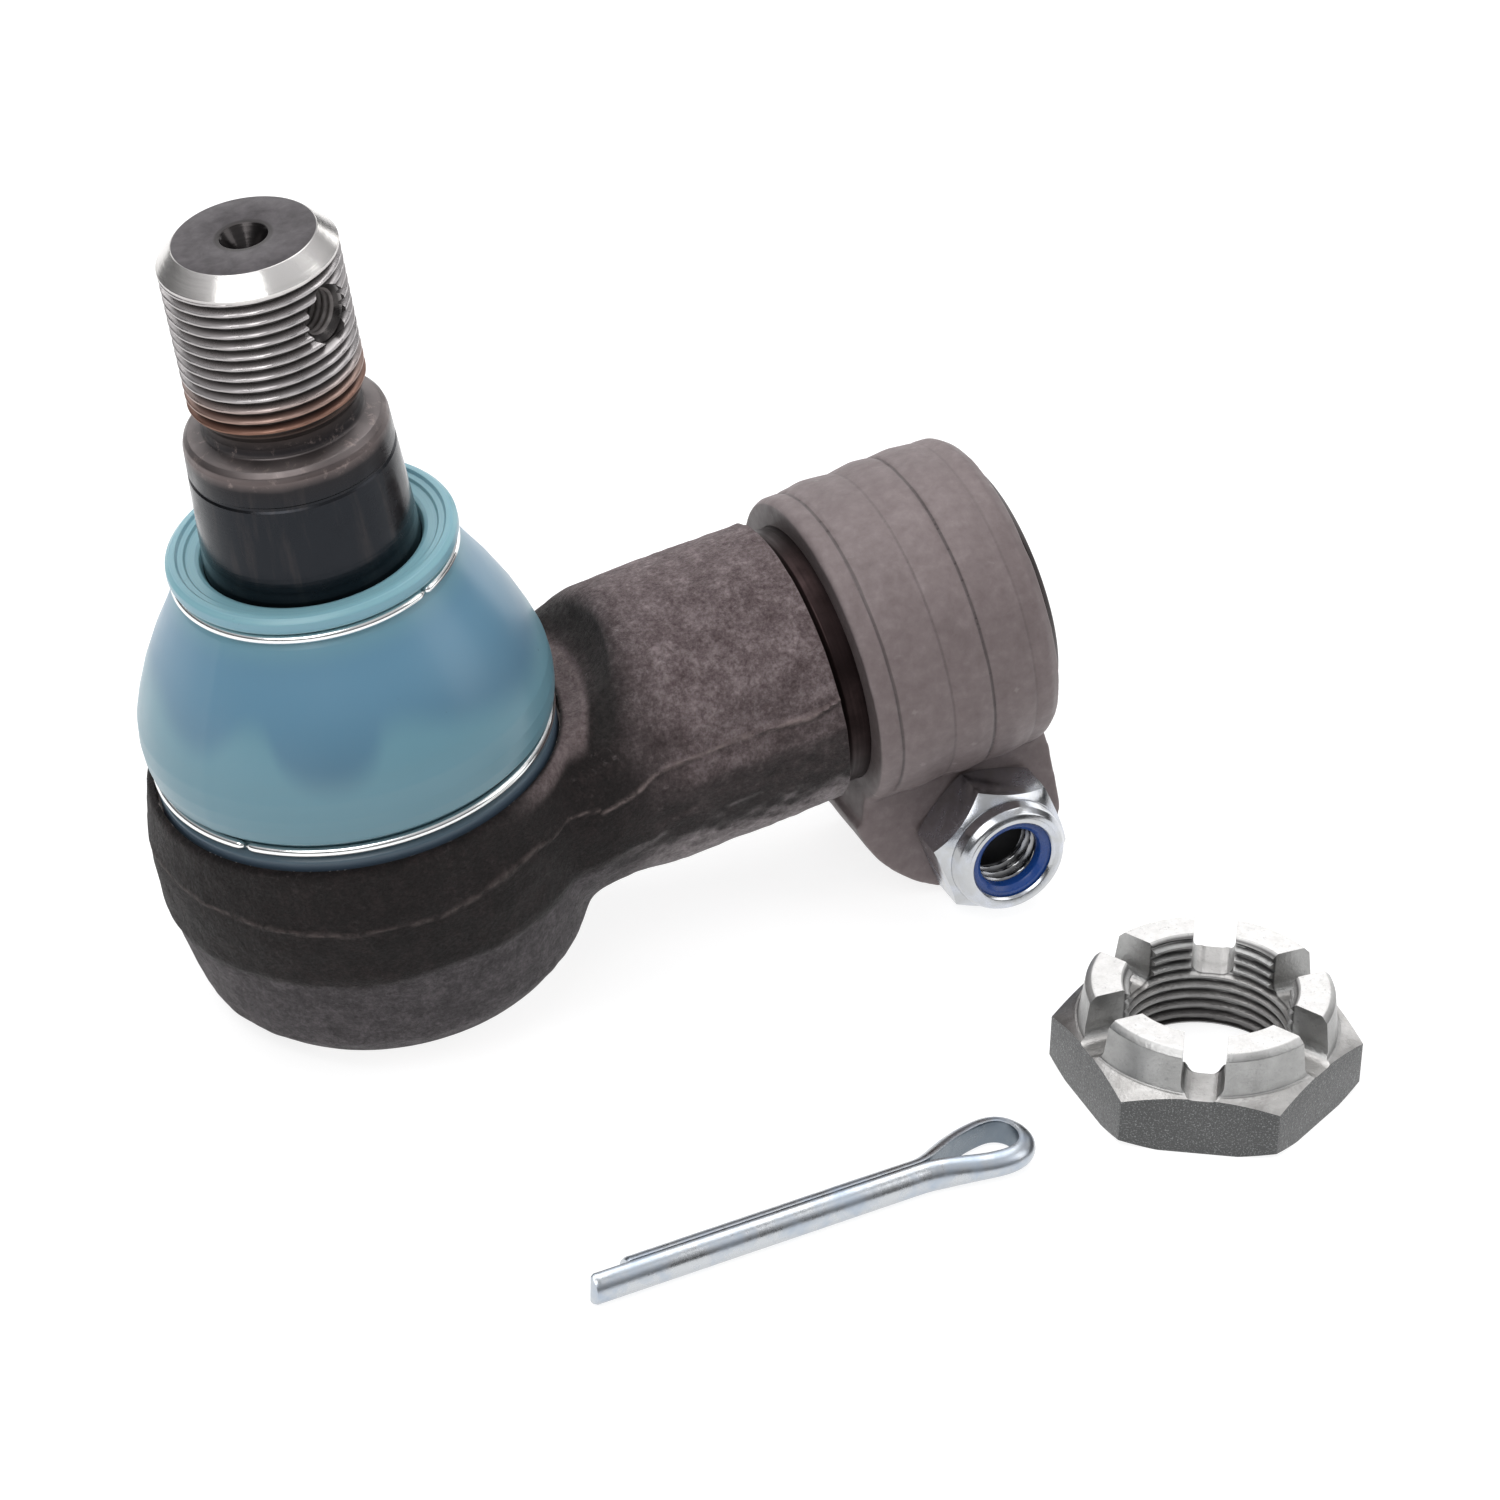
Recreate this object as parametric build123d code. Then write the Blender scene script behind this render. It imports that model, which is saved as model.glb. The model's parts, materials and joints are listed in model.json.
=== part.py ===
from build123d import *
import os
from math import sin, cos, tan, pi, sqrt, radians, degrees, atan2

# Tie rod end for a heavy vehicle: a ball joint in a forged eye, an internally
# threaded shank with a pinch clamp, and its loose slotted nut and split pin.
#
# The joint is drawn in its own axes first: the ball centre is the zero point,
# the stud stands along +Z and the shank runs along +X.  It is then laid down
# as it rests: on the far edge of the eye's bottom and on the clamp's ears.
# The two loose pieces are drawn where they lie on the same flat surface.

os.makedirs("parts", exist_ok=True)

# ---------------------------------------------------------------- dimensions
# resting position
LIE_ANGLE = 10.0          # shank axis to the surface, degrees
BALL_HEIGHT = 23.63       # ball centre above the surface
ORIGIN_X = 38.21          # ball centre to the middle of the whole set, along X
ORIGIN_Y = -26.114         # and along Y

# ball stud, M22x1.5 with a 1:10 cone
BALL_R = 16.5
STUD_NECK_R = 9.5
STUD_TOP = 87.07
STUD_THREAD_R = 11.0
STUD_THREAD_MINOR = 10.08
STUD_PITCH = 1.5
STUD_THREAD_TOP = 84.75
STUD_THREAD_END = 65.25
STUD_TOP_R = 8.79
SHOULDER_Z = 61.3
CONE_TOP_Z = 60.4
CONE_END_Z = 26.5
CONE_REF_Z = 38.3         # here the cone's radius is 13.75
CONE_REF_R = 13.75
GAUGE_GROOVE_Z = 56.4
PIN_HOLE_Z = 78.5
PIN_HOLE_R = 2.8
PIN_HOLE_SINK_R = 3.6
PIN_HOLE_ANGLE = -56.6    # direction of the cross hole about the stud

# housing
EYE_TOP = 12.2
EYE_BOTTOM = -20.2
SEAT_R = 18.8             # bore for the bearing shells
SEAT_TOP = 8.8
SEAT_BOTTOM = -17.2
ROLL_LIP_R = 16.6
MOUTH_R = 14.3
RECESS_IN = 21.8
RECESS_OUT = 25.9
RECESS_FLOOR = 8.6
SHANK_R = 19.05
SHANK_END = 58.2
NECK_R = 17.4
NECK_END = 89.5
TUBE_THREAD_R = 14.0      # M28x1.5
TUBE_THREAD_MINOR = 13.19
TUBE_THREAD_PITCH = 1.5
TUBE_THREAD_LEN = 42.0
TUBE_SLOT_W = 3.0

# bearing
BEARING_GAP = 0.05
SHELL_SPLIT = 0.25
SHELL_BOTTOM = -12.5
COVER_TOP = -14.9
COVER_T = 2.3

# clamp
CLAMP_X0 = 61.9
CLAMP_X1 = 88.0
CLAMP_IN = 17.45
CLAMP_OUT = 20.9
EAR_Y = 12.0
EAR_GAP = 3.0
EAR_C = (81.07, -16.33)
EAR_R = 21.6
BOLT_X = 77.3
BOLT_Z = -27.3
BOLT_HOLE_R = 5.25

# lock nut M10, width 17 across flats
LN_AF = 17.0
LN_HEX = 7.2
LN_H = 10.0

# slotted nut M22x1.5, width 34 across flats
CN_AF = 34.0
CN_H = 14.0
CN_HEX = 8.3
CN_CROWN_R = 15.9
CN_SLOT = 5.4
CN_SLOT_FLOOR = 8.0
CN_THREAD_R = 11.0
CN_THREAD_MINOR = 10.19
CN_X, CN_Y = 88.8, -60.9
CN_TURN = -30.85

# split pin for a 5 mm hole, 62.8 over all
SP_R = 2.2
SP_X, SP_Y = 44.6, -69.3
SP_TURN = 6.2
SP_LONG = 45.9
SP_SHORT = 40.7
SP_EYE_H = 1.75            # half the height of the wire round the eye, which leans to one side


# ------------------------------------------------------------------- helpers
def lathe(pts):
    """Solid of revolution about +Z from (radius, height) points."""
    return revolve(make_face(Plane.XZ * Polyline(*pts, close=True)), Axis.Z)


def lathe_x(pts):
    """The same about +X, from (radius, x) points."""
    return Rot(0, 90, 0) * lathe(pts)


def lathe_y(pts, x, z):
    """The same about -Y through (x, z), from (radius, distance) points."""
    return Pos(x, 0, z) * Rot(90, 0, 0) * lathe(pts)


def ring(radius, wire, z, gap_from, gap_deg):
    """Open wire ring about +Z."""
    arc = CenterArc((0, 0), radius, gap_from + gap_deg, 360 - gap_deg)
    arc = Pos(0, 0, z) * arc
    return sweep(Plane(arc @ 0, z_dir=arc % 0) * Circle(wire), path=arc)


def thread_points(r_out, r_in, z_hi, z_lo, pitch, crest=0.3, root=0.2):
    """Ridges and grooves from z_hi down to z_lo: each crest is a short flat."""
    n = int(round((z_hi - z_lo) / pitch))
    flank = (pitch - crest - root) / 2
    pts = []
    for i in range(n):
        z = z_hi - i * pitch
        pts += [(r_out, z), (r_out, z - crest), (r_in, z - crest - flank),
                (r_in, z - crest - flank - root)]
    pts.append((r_out, z_hi - n * pitch))
    return pts


def cone_r(z):
    return CONE_REF_R - 0.05 * (z - CONE_REF_Z)


def laid(shape):
    """From the joint's own axes to the resting position."""
    return (Pos(-ORIGIN_X, -ORIGIN_Y, BALL_HEIGHT) * Rot(0, -LIE_ANGLE, 0)) * shape


def lying(shape, x, y, z=0.0, turn=0.0):
    """A loose piece on the surface: x and y are from below the ball centre."""
    return (Pos(x - ORIGIN_X, y - ORIGIN_Y, z) * Rot(0, 0, turn)) * shape


parts = {}

# ------------------------------------------------------------------- housing
# Forged eye, widest at the die line, running into a round shank.
eye = lathe([(0, EYE_BOTTOM), (21.5, EYE_BOTTOM), (23.4, -19.0), (25.2, -17.0),
             (25.9, -15.5), (26.7, -12.0), (28.0, -4.0), (28.3, 1.0),
             (28.1, 4.0), (27.3, 8.0), (26.7, EYE_TOP), (0, EYE_TOP)])
shank = lathe_x([(0, 0), (SHANK_R - 1.2, 0), (SHANK_R - 1.2, 24), (SHANK_R, 34),
                 (SHANK_R, SHANK_END - 0.8), (SHANK_R - 0.8, SHANK_END),
                 (NECK_R - 0.6, SHANK_END), (NECK_R, SHANK_END + 1.2),
                 (NECK_R, NECK_END - 1.0), (NECK_R - 1.0, NECK_END), (0, NECK_END)])
web = loft([Plane(origin=(20, 0, -1), x_dir=(0, 1, 0), z_dir=(1, 0, 0)) * Ellipse(21.5, 16.0),
            Plane(origin=(38, 0, 0), x_dir=(0, 1, 0), z_dir=(1, 0, 0)) * Ellipse(18.6, 17.6)])
housing = eye + shank + web
# The shank's top is scooped away round the machined rim of the eye.
housing -= lathe([(0, EYE_TOP), (28.4, EYE_TOP), (30.0, 13.6), (32.0, 17.0), (33.4, 24.0), (0, 24.0)])
housing -= lathe([(0, EYE_BOTTOM - 1), (ROLL_LIP_R + 0.8, EYE_BOTTOM - 1),
                  (ROLL_LIP_R + 0.8, EYE_BOTTOM), (ROLL_LIP_R, EYE_BOTTOM + 0.8),
                  (ROLL_LIP_R, SEAT_BOTTOM), (SEAT_R, SEAT_BOTTOM),
                  (SEAT_R, SEAT_TOP), (MOUTH_R, SEAT_TOP), (MOUTH_R, 9.6),
                  (15.8, 11.4), (15.8, EYE_TOP + 4), (0, EYE_TOP + 4)])
housing -= lathe([(15.8, 11.4), (RECESS_IN, 11.4), (RECESS_IN, RECESS_FLOOR),
                  (RECESS_OUT, RECESS_FLOOR), (RECESS_OUT, EYE_TOP + 6),
                  (15.8, EYE_TOP + 6)])
tube = thread_points(TUBE_THREAD_MINOR, TUBE_THREAD_R, NECK_END - 1.2,
                     NECK_END - 1.2 - TUBE_THREAD_LEN, TUBE_THREAD_PITCH,
                     crest=0.45, root=0.2)
tube_end = NECK_END - 1.2 - TUBE_THREAD_LEN
housing -= lathe_x([(0, NECK_END + 1), (TUBE_THREAD_R + 0.3, NECK_END + 1),
                    (TUBE_THREAD_R + 0.3, NECK_END)] + tube +
                   [(TUBE_THREAD_MINOR, tube_end - 4.0), (0, tube_end - 11.0)])
housing -= Pos((66 + NECK_END + 2) / 2, 0, -15.5) * Box(NECK_END + 2 - 66, TUBE_SLOT_W, 9)
parts["housing"] = housing

# ------------------------------------------------------------------- bearing
ball_seat = Sphere(BALL_R + BEARING_GAP)
upper = lathe([(11.0, SHELL_SPLIT), (SEAT_R, SHELL_SPLIT), (SEAT_R, SEAT_TOP),
               (11.0, SEAT_TOP)]) - ball_seat
parts["upper_bearing_shell"] = upper
lower = lathe([(9.0, SHELL_BOTTOM), (SEAT_R, SHELL_BOTTOM), (SEAT_R, -SHELL_SPLIT),
               (9.0, -SHELL_SPLIT)]) - ball_seat
parts["lower_bearing_shell"] = lower
# Dished spring washer that presses the lower shell up against the ball.
parts["preload_spring"] = lathe([(11.6, SHELL_BOTTOM - 1.0), (11.6, SHELL_BOTTOM),
                                 (12.2, SHELL_BOTTOM), (16.9, COVER_TOP + 1.0),
                                 (16.9, COVER_TOP), (16.3, COVER_TOP)])
parts["cover_seal_ring"] = Pos(0, 0, COVER_TOP + 0.75) * Torus(SEAT_R - 0.75, 0.75)
# Closing plate, dished to clear the ball, held by the rolled edge of the eye.
parts["cover_plate"] = lathe([(0, -19.3), (8.6, -19.3), (10.4, COVER_TOP - COVER_T),
                              (SEAT_R, COVER_TOP - COVER_T), (SEAT_R, COVER_TOP),
                              (11.2, COVER_TOP), (9.4, -17.0), (0, -17.0)])

# ----------------------------------------------------------------- ball stud
stem = [(0, 0), (STUD_NECK_R, 0), (STUD_NECK_R, 17.5), (10.4, 20.0), (13.0, 24.3),
        (13.9, 25.4), (cone_r(CONE_END_Z), CONE_END_Z),
        (cone_r(GAUGE_GROOVE_Z - 0.5), GAUGE_GROOVE_Z - 0.5),
        (cone_r(GAUGE_GROOVE_Z) - 0.3, GAUGE_GROOVE_Z),
        (cone_r(GAUGE_GROOVE_Z + 0.5), GAUGE_GROOVE_Z + 0.5),
        (cone_r(CONE_TOP_Z), CONE_TOP_Z), (12.2, SHOULDER_Z - 0.2), (11.4, SHOULDER_Z + 0.1),
        (9.9, SHOULDER_Z + 0.6), (9.75, SHOULDER_Z + 1.6), (9.75, 63.9)]
stem += list(reversed(thread_points(STUD_THREAD_R, STUD_THREAD_MINOR, STUD_THREAD_TOP,
                                    STUD_THREAD_END, STUD_PITCH)))
stem += [(STUD_TOP_R, STUD_TOP), (3.0, STUD_TOP), (0.8, 83.3), (0.8, 80.4), (0, 80.0)]
stud = Sphere(BALL_R) + lathe(stem)
hole = Cylinder(PIN_HOLE_R, 30)
sink = (Pos(0, 0, 10.4) * Cone(PIN_HOLE_R, PIN_HOLE_SINK_R + 0.8, 1.6))
hole += sink + Rot(180, 0, 0) * sink
stud -= Pos(0, 0, PIN_HOLE_Z) * Rot(0, 0, PIN_HOLE_ANGLE) * Rot(0, 90, 0) * hole
parts["ball_stud"] = stud

# ----------------------------------------------------------------- dust boot
# Thick-walled sleeve: collar in the eye's recess, groove for the lower ring,
# cone-shaped wall, groove for the upper ring and a flat sealing lip.
parts["dust_boot"] = lathe([
    (22.1, 8.9), (25.5, 8.9), (25.5, 13.3), (24.5, 13.6), (24.4, 15.0),
    (25.9, 16.0), (26.3, 19.0), (26.1, 22.0), (25.3, 24.4), (24.0, 28.0),
    (22.0, 32.0), (19.9, 35.6), (18.4, 38.4), (17.6, 39.9), (17.0, 40.4), (16.9, 41.5),
    (17.9, 41.9), (18.25, 42.5), (18.2, 43.6), (17.5, 44.1), (15.6, 44.1), (15.3, 43.5),
    (14.0, 43.5), (13.75, 42.2), (13.85, 41.0), (14.8, 40.2), (15.1, 38.9), (16.2, 37.2), (18.0, 34.4),
    (20.1, 30.8), (22.0, 27.0), (23.2, 23.6), (23.9, 21.0), (24.0, 19.2),
    (22.7, 16.2), (22.1, 14.0)])
parts["boot_upper_ring"] = ring(17.52, 0.55, 40.95, -86, 6)
parts["boot_lower_ring"] = ring(25.07, 0.6, 14.3, -143, 5)

# --------------------------------------------------------------------- clamp
band = lathe_x([(CLAMP_IN, CLAMP_X0), (CLAMP_OUT - 0.6, CLAMP_X0), (CLAMP_OUT, CLAMP_X0 + 0.9),
                (CLAMP_OUT + 0.25, CLAMP_X0 + 3.1), (CLAMP_OUT + 0.55, CLAMP_X0 + 6.5),
                (CLAMP_OUT + 0.35, CLAMP_X0 + 10.2), (CLAMP_OUT + 0.75, CLAMP_X0 + 14.9),
                (CLAMP_OUT + 0.65, CLAMP_X0 + 18.4), (CLAMP_OUT + 0.35, CLAMP_X1 - 4.0),
                (CLAMP_OUT, CLAMP_X1 - 1.6), (CLAMP_OUT - 1.2, CLAMP_X1), (CLAMP_IN, CLAMP_X1)])
# Ear outline seen along Y: straight flanks, a long curve on the eye's side and
# a tighter one on the open side.
a0 = radians(180 + 14)
ear_pts_l = (EAR_C[0] + EAR_R * cos(a0), EAR_C[1] + EAR_R * sin(a0))
ear_low = (EAR_C[0] - 2.0, EAR_C[1] - sqrt(EAR_R ** 2 - 4.0))
ear_mid = (EAR_C[0] + EAR_R * cos(radians(229)), EAR_C[1] + EAR_R * sin(radians(229)))
ear_face = make_face(Plane.XZ * (
    Line((CLAMP_X0 + 0.1, -6), ear_pts_l) + ThreePointArc(ear_pts_l, ear_mid, ear_low) +
    ThreePointArc(ear_low, (87.0, -33.2), (89.2, -26.0)) +
    Line((89.2, -26.0), (88.0, -18)) + Line((88.0, -18), (88.0, -6)) +
    Line((88.0, -6), (CLAMP_X0 + 0.1, -6))))
ear = extrude(ear_face, EAR_Y, both=True)
clamp = band + (ear - Rot(0, 90, 0) * Cylinder(CLAMP_IN + 1.0, 240))
clamp -= Pos(75, 0, -27) * Box(60, EAR_GAP, 26)
clamp -= lathe_y([(0, -20), (BOLT_HOLE_R, -20), (BOLT_HOLE_R, 20), (0, 20)], BOLT_X, BOLT_Z)
parts["clamp"] = clamp

# M10 bolt across the ears; its head is on the far side.
bolt = lathe_y([(0, -18.6), (7.0, -18.6), (8.2, -17.9), (8.2, -12.4), (7.9, EAR_Y * -1),
                (4.9, -EAR_Y), (4.9, 14.6), (4.1, 15.6), (0, 15.6)], BOLT_X, BOLT_Z)
head_cut = Pos(BOLT_X, 15.9, BOLT_Z) * Rot(90, 0, 0) * (
    Cylinder(14, 7.8) - extrude(RegularPolygon(8.0, 6, major_radius=False), 3.9, both=True))
parts["clamp_bolt"] = bolt - head_cut

# Self-locking nut: hexagon, round collar and a plastic ring under its lip.
nut_hex = extrude(Plane.XY * RegularPolygon(LN_AF / 2, 6, major_radius=False), LN_HEX)
nut_hex &= lathe([(0, 0), (8.6, 0), (9.9, 0.75), (9.9, 5.9), (8.1, LN_HEX), (0, LN_HEX)])
nut = nut_hex + lathe([(0, 6.0), (8.0, 6.0), (7.9, 8.9), (7.3, 9.75), (6.6, LN_H), (0, LN_H)])
nut -= lathe([(0, -1), (5.0, -1), (5.0, 0.0), (4.95, 0.2), (4.95, 7.2), (5.9, 7.2),
              (5.9, 9.35), (5.5, 9.5), (5.5, LN_H + 1), (0, LN_H + 1)])
insert = lathe([(4.35, 7.4), (5.9, 7.2), (5.9, 9.3), (4.7, 9.3), (4.35, 8.9)])
nut_at = Pos(BOLT_X, -EAR_Y, BOLT_Z) * Rot(90, 0, 0) * Rot(0, 0, 12)
parts["clamp_lock_nut"] = nut_at * nut
parts["lock_nut_insert"] = nut_at * insert

for name in list(parts):
    parts[name] = laid(parts[name])

# --------------------------------------------------------------- slotted nut
cn = extrude(RegularPolygon(CN_AF / 2, 6, major_radius=False), CN_H)
cn &= lathe([(0, 0), (17.6, 0), (19.7, 1.1), (19.7, CN_HEX - 1.5), (CN_CROWN_R + 0.6, CN_HEX),
             (CN_CROWN_R + 0.1, CN_HEX + 0.2), (CN_CROWN_R - 0.5, CN_H - 0.5), (CN_CROWN_R - 1.1, CN_H), (0, CN_H)])
cn_bore = thread_points(CN_THREAD_MINOR, CN_THREAD_R, CN_H - 1.0, 1.0, 1.5, crest=0.4)
cn -= lathe([(0, CN_H + 1), (CN_THREAD_R + 0.3, CN_H + 1), (CN_THREAD_R + 0.3, CN_H)] + cn_bore +
            [(CN_THREAD_R + 0.3, 0), (CN_THREAD_R + 0.3, -1), (0, -1)])
slot = Box(40, CN_SLOT, 10)
slot = fillet(slot.edges().filter_by(Axis.X).sort_by(Axis.Z)[:2], 1.6)
for i in range(3):
    cn -= Pos(0, 0, CN_SLOT_FLOOR + 5) * Rot(0, 0, 60 * i + 30) * slot
parts["castle_nut"] = lying(cn, CN_X, CN_Y, 0, CN_TURN)

# ----------------------------------------------------------------- split pin
# Half-round wire folded on itself: an eye and two legs, one a little longer.
h = 0.06                                 # half of the slit between the legs


def d_section(y0, side):
    """Half disc with its flat on y0, bulging to +Y (side 1) or -Y (side -1)."""
    disc = Circle(SP_R)
    cut = Pos(0, -side * SP_R, 0) * Rectangle(4 * SP_R, 2 * SP_R)
    return Pos(0, y0, 0) * (disc - cut)


side_plane = Plane(origin=(0, 0, 0), x_dir=(0, 0, 1), z_dir=(-1, 0, 0))
leg_a = extrude(side_plane * d_section(-h, -1), SP_SHORT)
leg_b = extrude(side_plane * d_section(h, 1), SP_LONG)
if leg_a.center().Y < 0:
    leg_a, leg_b = (extrude(side_plane * d_section(h, 1), SP_SHORT),
                    extrude(side_plane * d_section(-h, -1), SP_LONG))
outer_eye = Polygon((-0.3, -2.15), (1.0, -2.25), (3.0, -2.5), (5.4, -2.95), (8.4, -3.65), (10.0, -4.0),
                    (11.9, -4.15), (13.9, -3.7), (15.7, -2.3), (16.7, -0.2), (16.85, 0.9), (16.6, 2.6),
                    (15.7, 4.3), (14.2, 5.4), (12.3, 5.85), (9.0, 5.45), (6.2, 4.7), (3.2, 3.3),
                    (1.2, 2.4), (-0.3, 2.15), align=None)
inner_eye = Polygon((-1.0, -h), (0.5, -h), (2.5, -0.3), (5.0, -0.8), (8.0, -1.5), (9.8, -1.85),
                    (11.8, -2.0), (13.3, -1.6), (14.3, -0.6), (14.7, 0.7), (14.6, 2.0), (13.9, 3.1),
                    (12.9, 3.6), (11.7, 3.7), (9.1, 3.3), (6.9, 2.6), (4.0, 1.3), (2.0, 0.4),
                    (0.5, h), (-1.0, h), align=None)
eye_solid = extrude(outer_eye - inner_eye, SP_EYE_H, both=True)
pin = eye_solid + leg_a + leg_b
parts["split_pin"] = lying(pin, SP_X, SP_Y, SP_R, SP_TURN)

for name, shape in parts.items():
    export_step(shape, "parts/" + name + ".step")
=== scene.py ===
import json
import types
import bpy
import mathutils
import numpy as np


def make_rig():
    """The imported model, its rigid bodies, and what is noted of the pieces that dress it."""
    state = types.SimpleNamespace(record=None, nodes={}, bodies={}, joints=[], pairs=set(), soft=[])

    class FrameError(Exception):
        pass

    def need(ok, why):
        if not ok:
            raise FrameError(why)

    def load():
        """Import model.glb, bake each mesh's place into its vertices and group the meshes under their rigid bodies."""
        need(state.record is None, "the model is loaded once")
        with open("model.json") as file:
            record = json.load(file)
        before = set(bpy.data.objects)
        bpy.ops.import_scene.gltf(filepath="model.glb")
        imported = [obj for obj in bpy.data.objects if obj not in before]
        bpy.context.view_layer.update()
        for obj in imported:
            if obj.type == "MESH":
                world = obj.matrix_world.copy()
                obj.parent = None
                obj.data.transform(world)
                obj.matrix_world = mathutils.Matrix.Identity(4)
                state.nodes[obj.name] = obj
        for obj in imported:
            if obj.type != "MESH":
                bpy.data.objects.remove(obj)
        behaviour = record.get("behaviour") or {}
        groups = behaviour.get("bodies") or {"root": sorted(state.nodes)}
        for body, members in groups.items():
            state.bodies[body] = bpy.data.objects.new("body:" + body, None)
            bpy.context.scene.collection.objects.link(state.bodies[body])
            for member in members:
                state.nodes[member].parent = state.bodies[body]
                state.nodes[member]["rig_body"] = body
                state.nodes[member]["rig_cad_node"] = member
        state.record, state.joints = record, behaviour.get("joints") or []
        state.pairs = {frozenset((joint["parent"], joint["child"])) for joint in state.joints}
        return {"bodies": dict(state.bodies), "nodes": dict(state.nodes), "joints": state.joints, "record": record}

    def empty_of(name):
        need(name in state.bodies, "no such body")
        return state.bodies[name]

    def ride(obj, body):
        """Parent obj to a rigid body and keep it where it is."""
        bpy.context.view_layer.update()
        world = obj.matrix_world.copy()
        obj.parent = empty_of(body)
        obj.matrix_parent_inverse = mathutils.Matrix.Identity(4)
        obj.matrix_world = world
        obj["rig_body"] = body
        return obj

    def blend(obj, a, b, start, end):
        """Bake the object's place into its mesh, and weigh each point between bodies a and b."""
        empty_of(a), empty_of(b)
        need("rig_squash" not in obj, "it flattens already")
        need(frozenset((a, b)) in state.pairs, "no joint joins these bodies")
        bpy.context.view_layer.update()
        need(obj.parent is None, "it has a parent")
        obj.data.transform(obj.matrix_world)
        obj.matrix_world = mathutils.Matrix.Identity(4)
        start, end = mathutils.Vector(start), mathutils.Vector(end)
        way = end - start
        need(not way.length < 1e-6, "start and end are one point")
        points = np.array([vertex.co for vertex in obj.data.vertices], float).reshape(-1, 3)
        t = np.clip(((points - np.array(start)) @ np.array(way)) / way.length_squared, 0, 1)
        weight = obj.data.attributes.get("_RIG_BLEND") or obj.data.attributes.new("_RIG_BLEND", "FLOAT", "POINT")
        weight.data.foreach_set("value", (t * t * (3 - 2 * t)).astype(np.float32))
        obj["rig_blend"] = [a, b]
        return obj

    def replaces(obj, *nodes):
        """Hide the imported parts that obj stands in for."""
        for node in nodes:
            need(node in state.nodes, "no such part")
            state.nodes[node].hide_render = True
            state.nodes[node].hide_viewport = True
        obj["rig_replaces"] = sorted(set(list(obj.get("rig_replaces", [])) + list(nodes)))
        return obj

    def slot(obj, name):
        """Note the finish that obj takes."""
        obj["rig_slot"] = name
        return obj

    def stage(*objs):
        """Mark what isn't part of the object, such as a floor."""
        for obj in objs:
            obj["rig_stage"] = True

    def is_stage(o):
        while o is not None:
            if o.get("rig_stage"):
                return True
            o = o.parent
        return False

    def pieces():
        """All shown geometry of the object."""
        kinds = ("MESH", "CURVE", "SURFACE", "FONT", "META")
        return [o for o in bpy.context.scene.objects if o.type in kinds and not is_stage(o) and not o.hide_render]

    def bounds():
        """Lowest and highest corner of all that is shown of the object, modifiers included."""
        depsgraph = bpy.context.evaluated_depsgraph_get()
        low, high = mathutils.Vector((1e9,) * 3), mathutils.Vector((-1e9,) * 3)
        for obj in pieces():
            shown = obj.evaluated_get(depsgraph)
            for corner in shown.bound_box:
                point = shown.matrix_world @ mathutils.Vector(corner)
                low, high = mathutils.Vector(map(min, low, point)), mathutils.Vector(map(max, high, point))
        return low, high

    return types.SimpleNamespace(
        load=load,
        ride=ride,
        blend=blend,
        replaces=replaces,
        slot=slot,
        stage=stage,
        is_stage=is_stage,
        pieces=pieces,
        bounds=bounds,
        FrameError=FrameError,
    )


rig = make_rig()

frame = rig.load()
cad_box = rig.bounds()

import bpy, bmesh, json, math
import numpy as np
from mathutils import Matrix, Vector

pi = math.pi
# ------------------------------------------------------------------ frame
# Lengths are in millimetres in the joint's own axes (ball centre at zero,
# stud along +Z, shank along +X) and are laid down by LAID.
OX, OY, BH, LIE = 38.21, -26.114, 23.63, math.radians(10.0)
LAID = Matrix.Translation((-OX / 1000, -OY / 1000, BH / 1000)) @ Matrix.Rotation(-LIE, 4, 'Y')
NUT_AT = Matrix.Translation(((88.8 - OX) / 1000, (-60.9 - OY) / 1000, 0)) @ Matrix.Rotation(math.radians(-30.85), 4, 'Z')
PIN_AT = Matrix.Translation(((44.6 - OX) / 1000, (-69.3 - OY) / 1000, 0.0022)) @ Matrix.Rotation(math.radians(6.2), 4, 'Z')
BOLT_X, BOLT_Z, EAR_Y = 77.3, -27.3, 12.0
scene = bpy.context.scene
coll = scene.collection


# ------------------------------------------------------------- mesh helpers
def new_obj(name, verts, faces, matrix=LAID, smooth=True):
    me = bpy.data.meshes.new(name)
    me.from_pydata((np.asarray(verts, float) * 0.001).tolist(), [], [list(map(int, f)) for f in faces])
    me.update()
    bm = bmesh.new(); bm.from_mesh(me)
    bmesh.ops.recalc_face_normals(bm, faces=bm.faces)
    bm.to_mesh(me); bm.free()
    ob = bpy.data.objects.new(name, me)
    coll.objects.link(ob)
    ob.matrix_world = matrix
    if smooth:
        me.polygons.foreach_set("use_smooth", [True] * len(me.polygons))
    return ob


def grid_faces(nu, nv, close_u=False, close_v=False):
    f = []
    for i in range(nu if close_u else nu - 1):
        i2 = (i + 1) % nu
        for j in range(nv if close_v else nv - 1):
            j2 = (j + 1) % nv
            f.append((i * nv + j, i2 * nv + j, i2 * nv + j2, i * nv + j2))
    return f


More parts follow.
